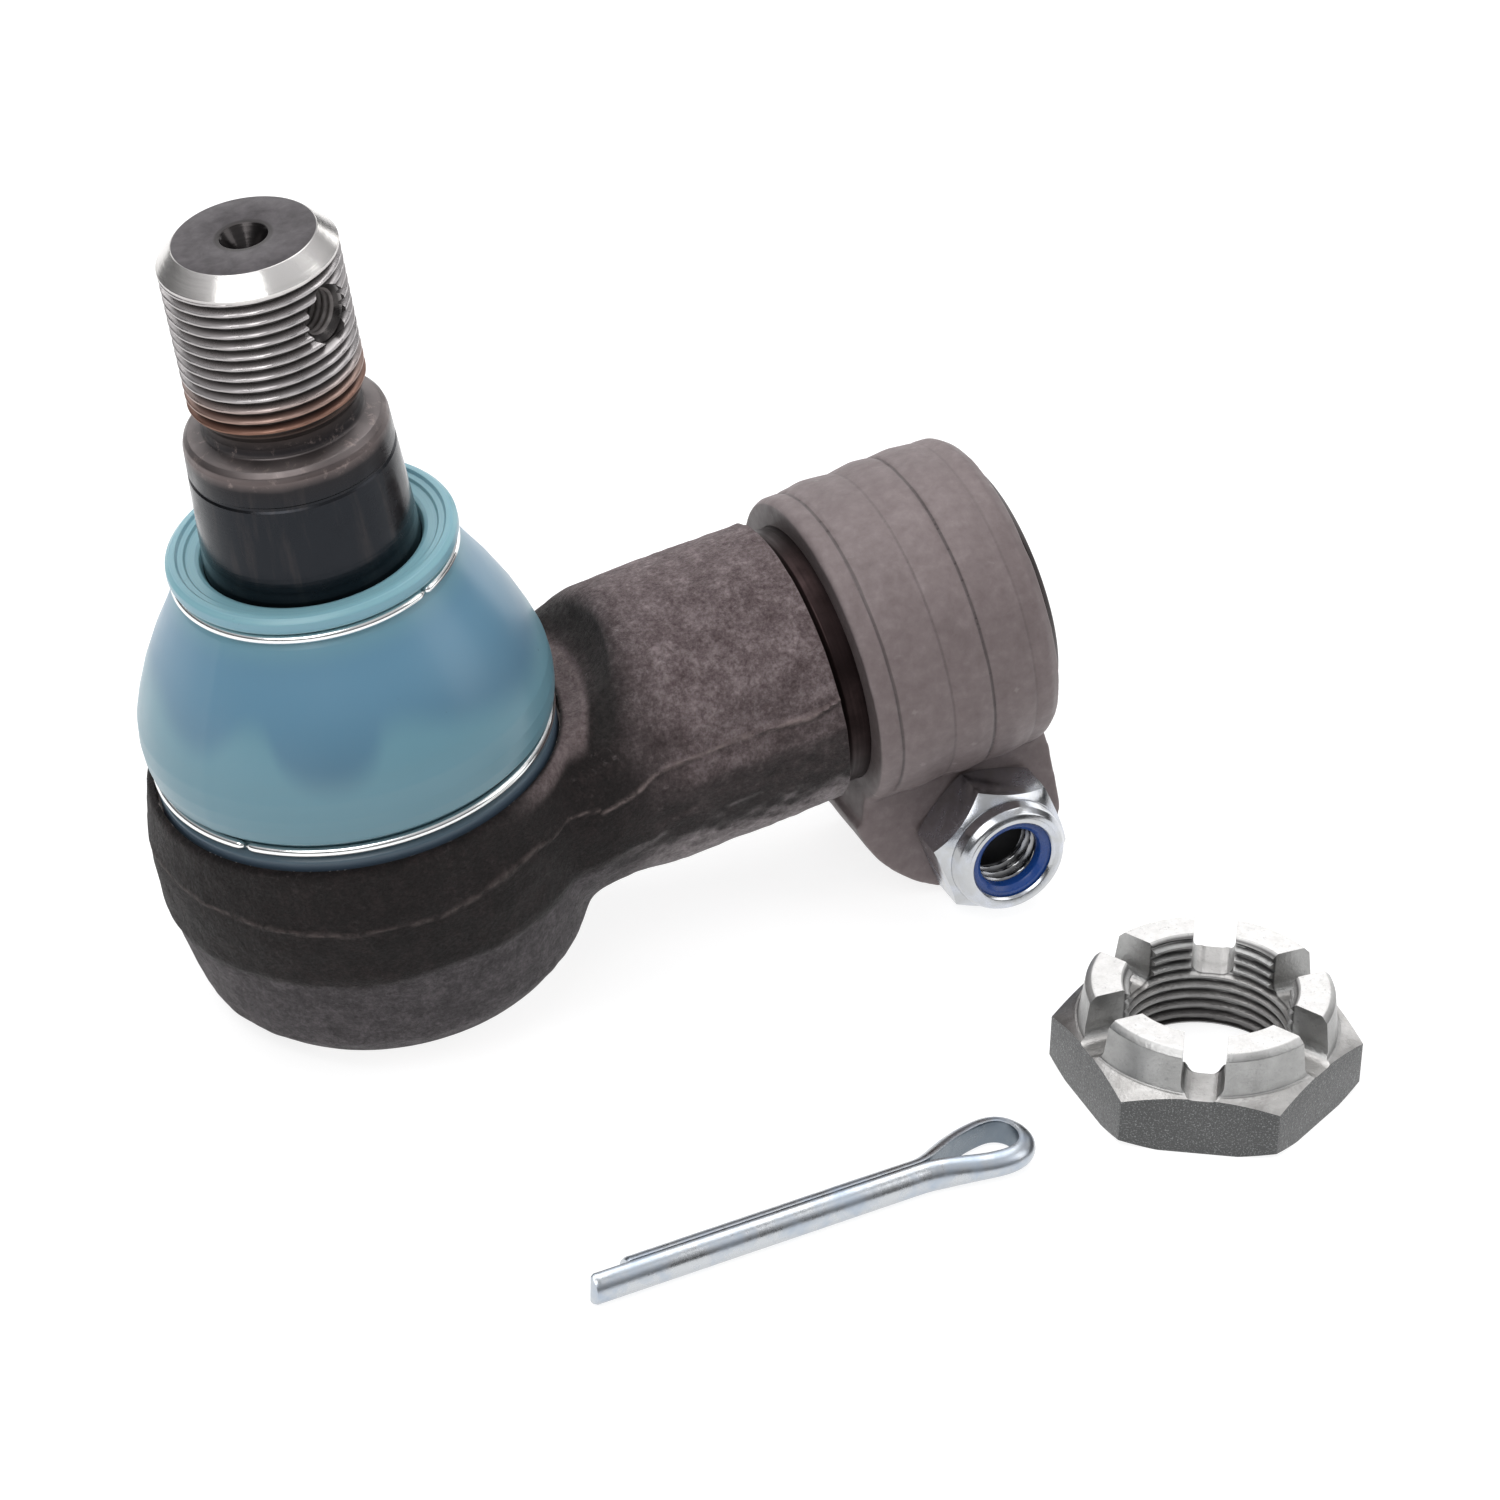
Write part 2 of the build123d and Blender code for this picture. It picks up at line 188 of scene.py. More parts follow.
def soften(pts, rad=0.25, seg=4, closed=False):
    """Rounds the corners of an (r, z) outline. A point may carry its own radius."""
    P = [(p[0], p[1]) for p in pts]
    R = [p[2] if len(p) > 2 else rad for p in pts]
    out = []
    n = len(P)
    for i in range(n):
        if not closed and i in (0, n - 1):
            out.append(P[i]); continue
        a, b, c = np.array(P[i - 1]), np.array(P[i]), np.array(P[(i + 1) % n])
        u, w = a - b, c - b
        lu, lw = np.linalg.norm(u), np.linalg.norm(w)
        if lu < 1e-6 or lw < 1e-6 or R[i] <= 0:
            out.append(tuple(b)); continue
        u, w = u / lu, w / lw
        cosang = np.clip(u @ w, -1, 1)
        ang = math.acos(cosang)
        if ang > math.radians(174):
            out.append(tuple(b)); continue
        d = min(R[i] / math.tan(ang / 2), 0.45 * lu, 0.45 * lw)
        p0, p1 = b + u * d, b + w * d
        r = d * math.tan(ang / 2)
        bis = (u + w) / np.linalg.norm(u + w)
        cen = b + bis * (r / math.sin(ang / 2))
        a0 = math.atan2(*(p0 - cen)[::-1]); a1 = math.atan2(*(p1 - cen)[::-1])
        da = (a1 - a0 + pi) % (2 * pi) - pi
        for k in range(seg + 1):
            t = a0 + da * k / seg
            out.append((cen[0] + r * math.cos(t), cen[1] + r * math.sin(t)))
    return out


def lathe_mesh(pts, n=160, axis='Z'):
    """Closed revolve of an outline whose ends lie on the axis, or of a closed ring."""
    pts = [tuple(p[:2]) for p in pts]
    on_axis = abs(pts[0][0]) < 1e-6 and abs(pts[-1][0]) < 1e-6
    th = np.linspace(0, 2 * pi, n, endpoint=False)
    body = pts[1:-1] if on_axis else pts
    R = np.array([p[0] for p in body]); Z = np.array([p[1] for p in body])
    V = np.stack([np.outer(np.cos(th), R), np.outer(np.sin(th), R), np.broadcast_to(Z, (n, len(R)))], -1).reshape(-1, 3)
    F = grid_faces(n, len(R), True, not on_axis)
    V = V.tolist()
    if on_axis:
        m = len(R)
        c0 = len(V); V.append([0, 0, pts[0][1]]); c1 = len(V); V.append([0, 0, pts[-1][1]])
        for i in range(n):
            j = (i + 1) % n
            F.append((c0, j * m, i * m)); F.append((c1, i * m + m - 1, j * m + m - 1))
    V = np.array(V)
    if axis == 'X':
        V = np.stack([V[:, 2], V[:, 1], -V[:, 0]], -1)
    if axis == '-Y':
        V = np.stack([V[:, 0], -V[:, 2], V[:, 1]], -1)
    return V, F


def lathe_obj(name, pts, n=160, axis='Z', matrix=LAID, offset=(0, 0, 0)):
    V, F = lathe_mesh(pts, n, axis)
    return new_obj(name, V + np.array(offset, float), F, matrix)


def helix_mesh(z0, z1, r_major, r_minor, pitch, profile, n=192, dz=0.1, cap=True, fade0=1.0, fade1=1.0, hand=1):
    """Screw surface: the radius follows the thread's profile round and up."""
    zs = np.linspace(z0, z1, int(round((z1 - z0) / dz)) + 1)
    th = np.linspace(0, 2 * pi, n, endpoint=False)
    T, Z = np.meshgrid(th, zs, indexing='ij')
    ph = ((Z - hand * pitch * T / (2 * pi)) / pitch) % 1.0
    R = r_minor + (r_major - r_minor) * profile(ph)
    if fade0 > 0:
        R = r_minor + (R - r_minor) * np.clip((Z - z0) / fade0, 0, 1)
    if fade1 > 0:
        R = r_minor + (R - r_minor) * np.clip((z1 - Z) / fade1, 0, 1)
    V = np.stack([R * np.cos(T), R * np.sin(T), Z], -1).reshape(-1, 3)
    F = grid_faces(n, len(zs), True)
    V = V.tolist()
    if cap:
        m = len(zs)
        c0 = len(V); V.append([0, 0, z0]); c1 = len(V); V.append([0, 0, z1])
        for i in range(n):
            j = (i + 1) % n
            F.append((c0, j * m, i * m)); F.append((c1, i * m + m - 1, j * m + m - 1))
    return np.array(V), F


def vee(ph):
    """Rounded 60 degree thread: 1 at the crest, 0 at the root."""
    d = np.abs(ph - 0.5) * 2          # 0 at crest, 1 at root
    x = np.clip((1 - d - 0.12) / 0.72, 0, 1)
    return x * x * (3 - 2 * x) * 0.35 + x * 0.65


def apply_mods(ob):
    dg = bpy.context.evaluated_depsgraph_get()
    dg.update()
    me = bpy.data.meshes.new_from_object(ob.evaluated_get(dg))
    old = ob.data
    ob.modifiers.clear()
    ob.data = me
    if old.users == 0:
        bpy.data.meshes.remove(old)
    return ob


def boolean(ob, cutter, op='DIFFERENCE', keep=False, solver='EXACT'):
    m = ob.modifiers.new("b", 'BOOLEAN')
    m.operation = op; m.object = cutter; m.solver = solver
    apply_mods(ob)
    if not keep:
        bpy.data.objects.remove(cutter, do_unlink=True)
    return ob


def voxel(ob, size):
    m = ob.modifiers.new("r", 'REMESH')
    m.mode = 'VOXEL'; m.voxel_size = size * 0.001; m.use_smooth_shade = True
    return apply_mods(ob)


def join(objs, name):
    """Joins meshes that share one placement."""
    base = objs[0]
    bm = bmesh.new()
    for o in objs:
        tmp = o.data.copy()
        bm.from_mesh(tmp)
        bpy.data.meshes.remove(tmp)
    me = bpy.data.meshes.new(name)
    bm.to_mesh(me); bm.free()
    me.polygons.foreach_set("use_smooth", [True] * len(me.polygons))
    mx = base.matrix_world.copy()
    for o in objs:
        bpy.data.objects.remove(o, do_unlink=True)
    ob = bpy.data.objects.new(name, me)
    coll.objects.link(ob); ob.matrix_world = mx
    return ob


def get_co(ob):
    co = np.zeros(len(ob.data.vertices) * 3, np.float32)
    ob.data.vertices.foreach_get("co", co)
    return co.reshape(-1, 3).astype(float) * 1000


def set_co(ob, co):
    ob.data.vertices.foreach_set("co", (co * 0.001).astype(np.float32).ravel())
    ob.data.update()


def get_no(ob):
    no = np.zeros(len(ob.data.vertices) * 3, np.float32)
    ob.data.vertices.foreach_get("normal", no)
    return no.reshape(-1, 3).astype(float)


def laplace(ob, iters, weight):
    """Smooths vertices; weight is one number per vertex."""
    me = ob.data
    e = np.zeros(len(me.edges) * 2, np.int32); me.edges.foreach_get("vertices", e); e = e.reshape(-1, 2)
    co = get_co(ob); n = len(co)
    deg = np.bincount(e.ravel(), minlength=n).astype(float)
    deg[deg == 0] = 1
    w = np.asarray(weight, float)[:, None]
    for _ in range(iters):
        s = np.zeros((n, 3))
        for k in range(3):
            s[:, k] = np.bincount(e[:, 0], co[e[:, 1], k], n) + np.bincount(e[:, 1], co[e[:, 0], k], n)
        co = co + w * (s / deg[:, None] - co)
    set_co(ob, co)
    return co


def sharp(ob, deg=30):
    me = ob.data
    me.polygons.foreach_set("use_smooth", [True] * len(me.polygons))
    me.update()
    with bpy.context.temp_override(object=ob, active_object=ob, selected_objects=[ob], selected_editable_objects=[ob]):
        try:
            bpy.ops.object.shade_auto_smooth(angle=math.radians(deg))
        except Exception:
            pass
    me.set_sharp_from_angle(angle=math.radians(deg))


def sharp_only(ob, deg=30):
    me = ob.data
    me.polygons.foreach_set("use_smooth", [True] * len(me.polygons))
    me.set_sharp_from_angle(angle=math.radians(deg))
    me.update()


# smooth value noise, the same every run
_rng = np.random.RandomState(7)
_lat = _rng.rand(32, 32, 32)


def vnoise(p, scale):
    q = np.asarray(p, float) / scale
    i = np.floor(q).astype(int); f = q - i
    f = f * f * (3 - 2 * f)
    out = 0
    for dx in (0, 1):
        for dy in (0, 1):
            for dz in (0, 1):
                w = (f[:, 0] if dx else 1 - f[:, 0]) * (f[:, 1] if dy else 1 - f[:, 1]) * (f[:, 2] if dz else 1 - f[:, 2])
                out = out + w * _lat[(i[:, 0] + dx) % 32, (i[:, 1] + dy) % 32, (i[:, 2] + dz) % 32]
    return out * 2 - 1


def sstep(a, b, x):
    t = np.clip((x - a) / (b - a), 0, 1)
    return t * t * (3 - 2 * t)


# --------------------------------------------------------- material helpers
class Mat:
    def __init__(self, name):
        self.m = bpy.data.materials.new(name)
        self.m.use_nodes = True
        self.nt = self.m.node_tree
        self.n = self.nt.nodes
        self.bsdf = self.n["Principled BSDF"]
        self.tc = self.n.new("ShaderNodeTexCoord")
        self.obj = self.tc.outputs["Object"]

    def link(self, a, b):
        self.nt.links.new(a, b)

    def put(self, socket, v):
        if isinstance(v, bpy.types.NodeSocket):
            self.link(v, socket)
        elif v is not None:
            socket.default_value = v

    def noise(self, scale, detail=4, rough=0.55, dist=0.0, vec=None, out="Fac"):
        t = self.n.new("ShaderNodeTexNoise")
        t.inputs["Scale"].default_value = scale
        t.inputs["Detail"].default_value = detail
        t.inputs["Roughness"].default_value = rough
        t.inputs["Distortion"].default_value = dist
        self.link(vec or self.obj, t.inputs["Vector"])
        return t.outputs[out]

    def voronoi(self, scale, vec=None, feature='F1', rand=1.0, out="Distance"):
        t = self.n.new("ShaderNodeTexVoronoi")
        t.feature = feature
        t.inputs["Scale"].default_value = scale
        t.inputs["Randomness"].default_value = rand
        self.link(vec or self.obj, t.inputs["Vector"])
        return t.outputs[out]

    def mapping(self, scale=(1, 1, 1), rot=(0, 0, 0), loc=(0, 0, 0), vec=None):
        t = self.n.new("ShaderNodeMapping")
        t.inputs["Scale"].default_value = scale
        t.inputs["Rotation"].default_value = rot
        t.inputs["Location"].default_value = loc
        self.link(vec or self.obj, t.inputs["Vector"])
        return t.outputs["Vector"]

    def math(self, op, a, b=None, c=None, clamp=False):
        t = self.n.new("ShaderNodeMath"); t.operation = op; t.use_clamp = clamp
        self.put(t.inputs[0], a)
        if b is not None: self.put(t.inputs[1], b)
        if c is not None: self.put(t.inputs[2], c)
        return t.outputs[0]

    def ramp(self, fac, stops, interp='LINEAR'):
        t = self.n.new("ShaderNodeValToRGB")
        t.color_ramp.interpolation = interp
        els = t.color_ramp.elements
        while len(els) > 1: els.remove(els[-1])
        for i, (p, c) in enumerate(stops):
            if not hasattr(c, "__len__"): c = (c, c, c)
            e = els[0] if i == 0 else els.new(p)
            e.position = p; e.color = (*c[:3], 1)
        self.link(fac, t.inputs["Fac"])
        return t.outputs["Color"]

    def mix(self, fac, a, b, blend='MIX'):
        t = self.n.new("ShaderNodeMix"); t.data_type = 'RGBA'; t.blend_type = blend
        self.put(t.inputs["Factor"], fac)
        ca = [s for s in t.inputs if s.name == "A" and s.type == 'RGBA'][0]
        cb = [s for s in t.inputs if s.name == "B" and s.type == 'RGBA'][0]
        for s, v in ((ca, a), (cb, b)):
            if isinstance(v, (tuple, list)): s.default_value = (*v[:3], 1)
            else: self.put(s, v)
        return [s for s in t.outputs if s.type == 'RGBA'][0]

    def xyz(self, vec=None):
        t = self.n.new("ShaderNodeSeparateXYZ")
        self.link(vec or self.obj, t.inputs[0])
        return t.outputs[0], t.outputs[1], t.outputs[2]

    def maprange(self, v, a, b, c=0.0, d=1.0, smooth=False):
        t = self.n.new("ShaderNodeMapRange")
        if smooth: t.interpolation_type = 'SMOOTHSTEP'
        self.put(t.inputs["Value"], v)
        t.inputs["From Min"].default_value = a; t.inputs["From Max"].default_value = b
        t.inputs["To Min"].default_value = c; t.inputs["To Max"].default_value = d
        return t.outputs["Result"]

    def comb(self, x):
        t = self.n.new("ShaderNodeCombineXYZ")
        self.put(t.inputs[0], x)
        return t.outputs[0]

    def bump(self, h, strength=0.3, dist=0.0002, normal=None):
        t = self.n.new("ShaderNodeBump")
        t.inputs["Strength"].default_value = strength
        t.inputs["Distance"].default_value = dist
        self.link(h, t.inputs["Height"])
        if normal is not None: self.link(normal, t.inputs["Normal"])
        return t.outputs["Normal"]

    def pointiness(self):
        return self.n.new("ShaderNodeNewGeometry").outputs["Pointiness"]

    def attr(self, name):
        t = self.n.new("ShaderNodeAttribute"); t.attribute_name = name
        return t.outputs["Fac"]

    def set(self, **kw):
        names = dict(color="Base Color", metal="Metallic", rough="Roughness", normal="Normal", coat="Coat Weight",
                     coat_rough="Coat Roughness", sss="Subsurface Weight", sss_r="Subsurface Radius", sss_s="Subsurface Scale",
                     trans="Transmission Weight", ior="IOR", spec="Specular IOR Level", sheen="Sheen Weight", aniso="Anisotropic")
        for k, v in kw.items():
            s = self.bsdf.inputs[names[k]]
            if isinstance(v, (tuple, list)) and s.type == 'RGBA': s.default_value = (*v[:3], 1)
            else: self.put(s, v)
        return self


def assign(ob, mat):
    ob.data.materials.clear()
    ob.data.materials.append(mat.m if isinstance(mat, Mat) else mat)


# ------------------------------------------------------------------ materials
def m_forged(name="forged"):
    m = Mat(name)
    x, y, z = m.xyz()
    nx, ny, nz = m.xyz(m.tc.outputs["Normal"])
    big = m.noise(50, 3, 0.5)
    grain = m.noise(2300, 4, 0.7)
    mid = m.math('ADD', m.math('MULTIPLY', m.noise(330, 7, 0.72, 0.2), 0.5), m.math('MULTIPLY', m.noise(1500, 4, 0.8), 0.5))
    base = m.ramp(mid, [(0.38, (0.0040, 0.0022, 0.0021)), (0.5, (0.0080, 0.0050, 0.0048)), (0.63, (0.022, 0.0150, 0.0148))])
    col = m.mix(1.0, base, m.ramp(big, [(0.3, (0.82, 0.78, 0.78)), (0.7, (1.18, 1.15, 1.15))]), 'MULTIPLY')
    # greyer skin on the tapered lower half
    wav = m.math('MULTIPLY', m.math('SUBTRACT', m.noise(90, 4, 0.6), 0.5), 0.0035)
    zz = m.math('ADD', z, wav)
    low = m.maprange(zz, -0.0046, -0.0056, 0, 1)
    nearx = m.maprange(x, 0.034, 0.020, 0, 1, True)
    grey = m.ramp(mid, [(0.38, (0.030, 0.025, 0.027)), (0.5, (0.060, 0.052, 0.056)), (0.63, (0.120, 0.106, 0.112))])
    col = m.mix(m.math('MULTIPLY', low, nearx), col, grey)
    # shank: painted light, a lighter brown on faces turned up, and painted floor bounce, a lighter grey on faces turned
    # down
    along = m.maprange(x, 0.026, 0.040, 0, 1, True)
    painted_top_light = m.math('MULTIPLY', along, m.maprange(nz, -0.40, 0.62, 0, 1, True))
    brown = m.ramp(mid, [(0.38, (0.070, 0.047, 0.048)), (0.5, (0.148, 0.112, 0.114)), (0.63, (0.290, 0.235, 0.240))])
    col = m.mix(painted_top_light, col, brown)
    # painted floor bounce: faces turned down along the shank are lightened to grey
    under = m.math('MULTIPLY', m.maprange(nz, -0.25, -0.48, 0, 1, True), m.maprange(x, 0.022, 0.036, 0, 1, True))
    col = m.mix(under, col, m.ramp(mid, [(0.40, (0.095, 0.080, 0.082)), (0.62, (0.310, 0.275, 0.280))]))
    # bright rub marks
    scuff = m.ramp(m.noise(1100, 8, 0.8, 0.6), [(0.56, 0), (0.70, 1)])
    patch = m.ramp(m.noise(85, 4, 0.6, 0.5, m.mapping((1, 1, 1), loc=(3, 1, 2))), [(0.46, 0.12), (0.62, 1)])
    sc = m.math('MULTIPLY', m.math('MULTIPLY', scuff, patch), m.maprange(nz, -0.1, 0.6, 0.15, 0.85))
    sc = m.math('MULTIPLY', sc, m.maprange(x, 0.020, 0.034, 0.25, 1))
    col = m.mix(m.math('MULTIPLY', sc, 0.75), col, (0.42, 0.37, 0.37))
    # the trimmed die line is painted thin and pale, partly as bare trimmed metal and partly as a painted highlight
    # along its ridge
    line = m.attr("dieline")
    dieline_pale_highlight = m.math('MULTIPLY', line, m.ramp(m.noise(500, 6, 0.7), [(0.40, 0.1), (0.58, 1)]))
    col = m.mix(m.math('MULTIPLY', dieline_pale_highlight, m.maprange(x, 0.016, 0.030, 0.30, 0.80)), col, (0.30, 0.235, 0.225))
    # painted highlight: a lighter brown band along the eye's rounded rim beside the saddle
    col = m.mix(m.math('MULTIPLY', m.attr("rim_highlight_band"), 0.85), col, m.ramp(mid, [(0.40, (0.120, 0.088, 0.088)), (0.62, (0.300, 0.240, 0.240))]))
    # painted shade: the saddle's hollow is darkened almost to black
    saddle_shade = m.attr("saddle")
    col = m.mix(m.math('MULTIPLY', saddle_shade, 0.86), col, m.ramp(mid, [(0.40, (0.008, 0.007, 0.0066)), (0.62, (0.034, 0.029, 0.028))]))
    # painted shade: hollows and creases (low pointiness) are darkened
    crease_shade = m.maprange(m.pointiness(), 0.50, 0.44, 0, 1)
    col = m.mix(m.math('MULTIPLY', crease_shade, 0.4), col, (0.012, 0.010, 0.010))
    wear = m.maprange(m.pointiness(), 0.57, 0.70, 0, 1)
    col = m.mix(m.math('MULTIPLY', wear, 0.10), col, (0.20, 0.165, 0.16))
    rough = m.maprange(grain, 0.3, 0.7, 0.50, 0.74)
    h = m.math('ADD', m.math('MULTIPLY', m.noise(1250, 8, 0.75), 0.8), m.math('MULTIPLY', m.noise(320, 6, 0.65), 0.8))
    m.set(color=col, metal=0.2, rough=rough, spec=0.32, normal=m.bump(h, 1.0, 0.0008))
    return m


def m_machined(name, col=(0.55, 0.54, 0.53), axis='Z', rough=0.28, dark=(0.25, 0.24, 0.24)):
    """Turned steel: fine rings about an axis, with faint smudges."""
    m = Mat(name)
    sc = {'Z': (40, 40, 2600), 'X': (2600, 40, 40), 'Y': (40, 2600, 40)}[axis]
    rings = m.noise(1.0, 4, 0.6, 0, m.mapping(sc))
    smudge = m.noise(160, 5, 0.6)
    c = m.mix(m.maprange(smudge, 0.35, 0.7, 0, 0.8), col, dark)
    c = m.mix(m.maprange(rings, 0.3, 0.7, 0, 0.35), c, dark)
    r = m.maprange(m.math('ADD', rings, m.math('MULTIPLY', smudge, 0.5)), 0.5, 1.0, rough - 0.08, rough + 0.14)
    m.set(color=c, metal=1.0, rough=r, normal=m.bump(rings, 0.25, 0.0001))
    return m


def m_stud():
    m = Mat("stud")
    x, y, z = m.xyz()
    r = m.math('SQRT', m.math('ADD', m.math('MULTIPLY', x, x), m.math('MULTIPLY', y, y)))
    wob = m.math('MULTIPLY', m.math('SUBTRACT', m.noise(120, 3, 0.5), 0.5), 0.0012)
    zz = m.math('ADD', z, wob)
    zn = m.maprange(zz, 0.030, 0.090, 0, 1)          # 60 mm of stud
    def at(mm): return (mm - 30) / 60
    col = m.ramp(zn, [
        (at(41), (0.020, 0.022, 0.026)), (at(55.5), (0.020, 0.022, 0.026)), (at(58.8), (0.024, 0.023, 0.025)),
        (at(60.2), (0.140, 0.115, 0.112)), (at(61.4), (0.150, 0.132, 0.130)), (at(62.4), (0.022, 0.020, 0.022)), (at(65.0), (0.045, 0.035, 0.032)),
        (at(66.2), (0.20, 0.105, 0.075)), (at(68.5), (0.33, 0.24, 0.21)), (at(70.5), (0.38, 0.36, 0.36)),
        (at(84.2), (0.42, 0.40, 0.40)), (at(84.9), (0.70, 0.68, 0.66)), (at(87.0), (0.74, 0.72, 0.70)), ])
    # streaks and smears on the blued cone
    streak = m.noise(1.0, 6, 0.7, 0.15, m.mapping((420, 420, 46)))
    cone = m.math('MULTIPLY', m.maprange(z, 0.060, 0.0575, 0, 1), m.maprange(z, 0.020, 0.030, 0, 1))
    col = m.mix(m.math('MULTIPLY', m.math('MULTIPLY', m.ramp(streak, [(0.50, 0), (0.74, 1)]), cone), 0.42), col, (0.066, 0.056, 0.054))
    blotch = m.noise(620, 7, 0.75, 0.3)
    col = m.mix(m.math('MULTIPLY', m.math('MULTIPLY', m.ramp(blotch, [(0.56, 0), (0.68, 1)]), m.math('MULTIPLY', m.maprange(z, 0.0588, 0.0602, 0, 1), m.maprange(z, 0.0640, 0.0620, 0, 1))), 0.55), col,
                (0.36, 0.29, 0.27))
    # painted shade: the thread's roots are darkened
    thr = m.math('MULTIPLY', m.maprange(z, 0.0645, 0.0655, 0, 1), m.maprange(z, 0.0852, 0.0846, 0, 1))
    root = m.maprange(r, 0.01012, 0.01082, 1, 0)
    col = m.mix(m.math('MULTIPLY', m.math('MULTIPLY', root, thr), 0.93), col, (0.030, 0.027, 0.026))
    # grey turned end face
    top = m.math('MULTIPLY', m.maprange(z, 0.08695, 0.08702, 0, 1), m.maprange(r, 0.00885, 0.0087, 0, 1))
    facecol = m.ramp(m.noise(1.0, 5, 0.65, 0.3, m.mapping((420, 420, 420))), [(0.3, (0.050, 0.045, 0.048)), (0.7, (0.105, 0.096, 0.102))])
    col = m.mix(top, col, facecol)
    # painted shade: the centre hole in the end face is darkened
    pit = m.math('MULTIPLY', m.maprange(r, 0.0037, 0.0034, 0, 1), m.maprange(z, 0.0794, 0.0800, 0, 1))
    col = m.mix(pit, col, (0.045, 0.041, 0.041))
    rings = m.noise(1.0, 3, 0.6, 0, m.mapping((30, 30, 3200)))
    grime = m.noise(330, 6, 0.6)
    rg = m.ramp(zn, [(at(50), 0.17), (at(58.5), 0.24), (at(60.2), 0.36), (at(65), 0.40), (at(70), 0.24), (at(84), 0.24), (at(84.8), 0.20), (at(87), 0.20)])
    rg = m.math('ADD', rg, m.math('MULTIPLY', m.maprange(grime, 0.3, 0.75, -0.04, 0.16), m.maprange(z, 0.0850, 0.0846, 0.25, 1)))
    rg = m.math('ADD', rg, m.math('MULTIPLY', top, 0.16))
    h = m.math('ADD', m.math('MULTIPLY', rings, 0.6), m.math('MULTIPLY', m.noise(1400, 4, 0.6), 0.35))
    m.set(color=col, metal=0.92, rough=rg, normal=m.bump(h, 0.22, 0.00012))
    return m


def m_boot():
    """Smooth light-blue urethane, with dark reflections and shade painted in soft patches on the dome."""
    m = Mat("boot")
    keep = m.n.new("ShaderNodeAttribute"); keep.attribute_name = "moulded"
    m.obj = keep.outputs["Vector"]
    x, y, z = m.xyz()
    az = m.n.new("ShaderNodeMath"); az.operation = 'ARCTAN2'
    m.link(y, az.inputs[0]); m.link(x, az.inputs[1])
    t = m.maprange(az.outputs[0], -math.pi, math.pi, 0, 1)
    # height of the edge of the painted dark reflection and shade, round the dome (0.01 per mm)
    def at(deg): return (deg + 180) / 360
    edge = m.ramp(t, [(0.0, 0.30), (at(-172), 0.285), (at(-160), 0.262), (at(-150), 0.262), (at(-143), 0.292), (at(-137), 0.308), (at(-131), 0.300), (at(-127), 0.258), (at(-120), 0.236), (at(-112), 0.230),
                      (at(-105), 0.234), (at(-99), 0.255), (at(-95), 0.292), (at(-86), 0.292), (at(-76), 0.270), (at(-60), 0.252), (at(-45), 0.236), (at(-30), 0.250), (at(0), 0.28), (at(60), 0.24), (at(120), 0.28), (1.0, 0.30)], 'B_SPLINE')
    sepc = m.n.new("ShaderNodeSeparateColor"); m.link(edge, sepc.inputs[0])
    wob = m.math('MULTIPLY', m.math('SUBTRACT', m.noise(28, 2, 0.4), 0.5), 0.05)
    dz = m.math('SUBTRACT', m.math('ADD', m.math('MULTIPLY', z, 10.0), wob), sepc.outputs[0])
    # painted reflection and shade: darker below the edge, none on the lip
    reflection_shade = m.maprange(dz, -0.022, 0.026, 0, 1, True)
    reflection_shade = m.math('MULTIPLY', reflection_shade, m.maprange(z, 0.0405, 0.0365, 0, 1, True))
    pale = m.ramp(m.maprange(z, 0.008, 0.045, 0, 1), [(0.0, (0.040, 0.062, 0.095)), (0.12, (0.055, 0.082, 0.112)), (0.175, (0.040, 0.095, 0.115)), (0.22, (0.105, 0.215, 0.262)),
                      (0.50, (0.125, 0.255, 0.315)), (0.85, (0.135, 0.275, 0.340)), (0.90, (0.170, 0.330, 0.380)), (1.0, (0.210, 0.400, 0.445))])
    reflection_shade_col = m.ramp(m.noise(26, 2, 0.4, 0, m.mapping((1, 1, 1), loc=(0.3, 0.1, 0.7))), [(0.35, (0.052, 0.112, 0.170)), (0.65, (0.072, 0.155, 0.232))])
    reflection_shade_col = m.mix(m.maprange(z, 0.022, 0.036, 0, 1, True), reflection_shade_col, (0.098, 0.215, 0.318))
    col = m.mix(m.math('MULTIPLY', reflection_shade, 0.82), pale, reflection_shade_col)
    fleck = m.ramp(m.noise(620, 2, 0.5), [(0.775, 0), (0.80, 1)])
    col = m.mix(m.math('MULTIPLY', fleck, 0.55), col, (0.02, 0.04, 0.06))
    # moulded rings and a little dirt about the hole
    r = m.math('SQRT', m.math('ADD', m.math('MULTIPLY', x, x), m.math('MULTIPLY', y, y)))
    lip = m.maprange(z, 0.0417, 0.0425, 0, 1)
    ringn = m.noise(1.0, 3, 0.7, 0, m.mapping((1, 1, 1), vec=m.comb(m.math('MULTIPLY', r, 2600.0))))
    col = m.mix(m.math('MULTIPLY', m.math('MULTIPLY', lip, m.ramp(ringn, [(0.45, 0), (0.62, 1)])), 0.42), col, (0.13, 0.26, 0.37))
    dirt = m.ramp(m.noise(300, 7, 0.75, 1.0), [(0.66, 0), (0.74, 1)])
    col = m.mix(m.math('MULTIPLY', m.math('MULTIPLY', lip, dirt), 0.6), col, (0.05, 0.07, 0.08))
    h = m.math('ADD', m.math('MULTIPLY', m.noise(90, 2, 0.4), 0.7), m.math('MULTIPLY', m.noise(2200, 3, 0.6), 0.10))
    m.set(color=col, rough=m.maprange(m.noise(150, 3, 0.5), 0.3, 0.7, 0.30, 0.38), spec=0.42, sss=0.12, sss_s=0.003,
          coat=0.12, coat_rough=0.2, normal=m.bump(h, 0.07, 0.0002))
    m.bsdf.inputs["Subsurface Radius"].default_value = (0.5, 1.0, 1.2)
    return m


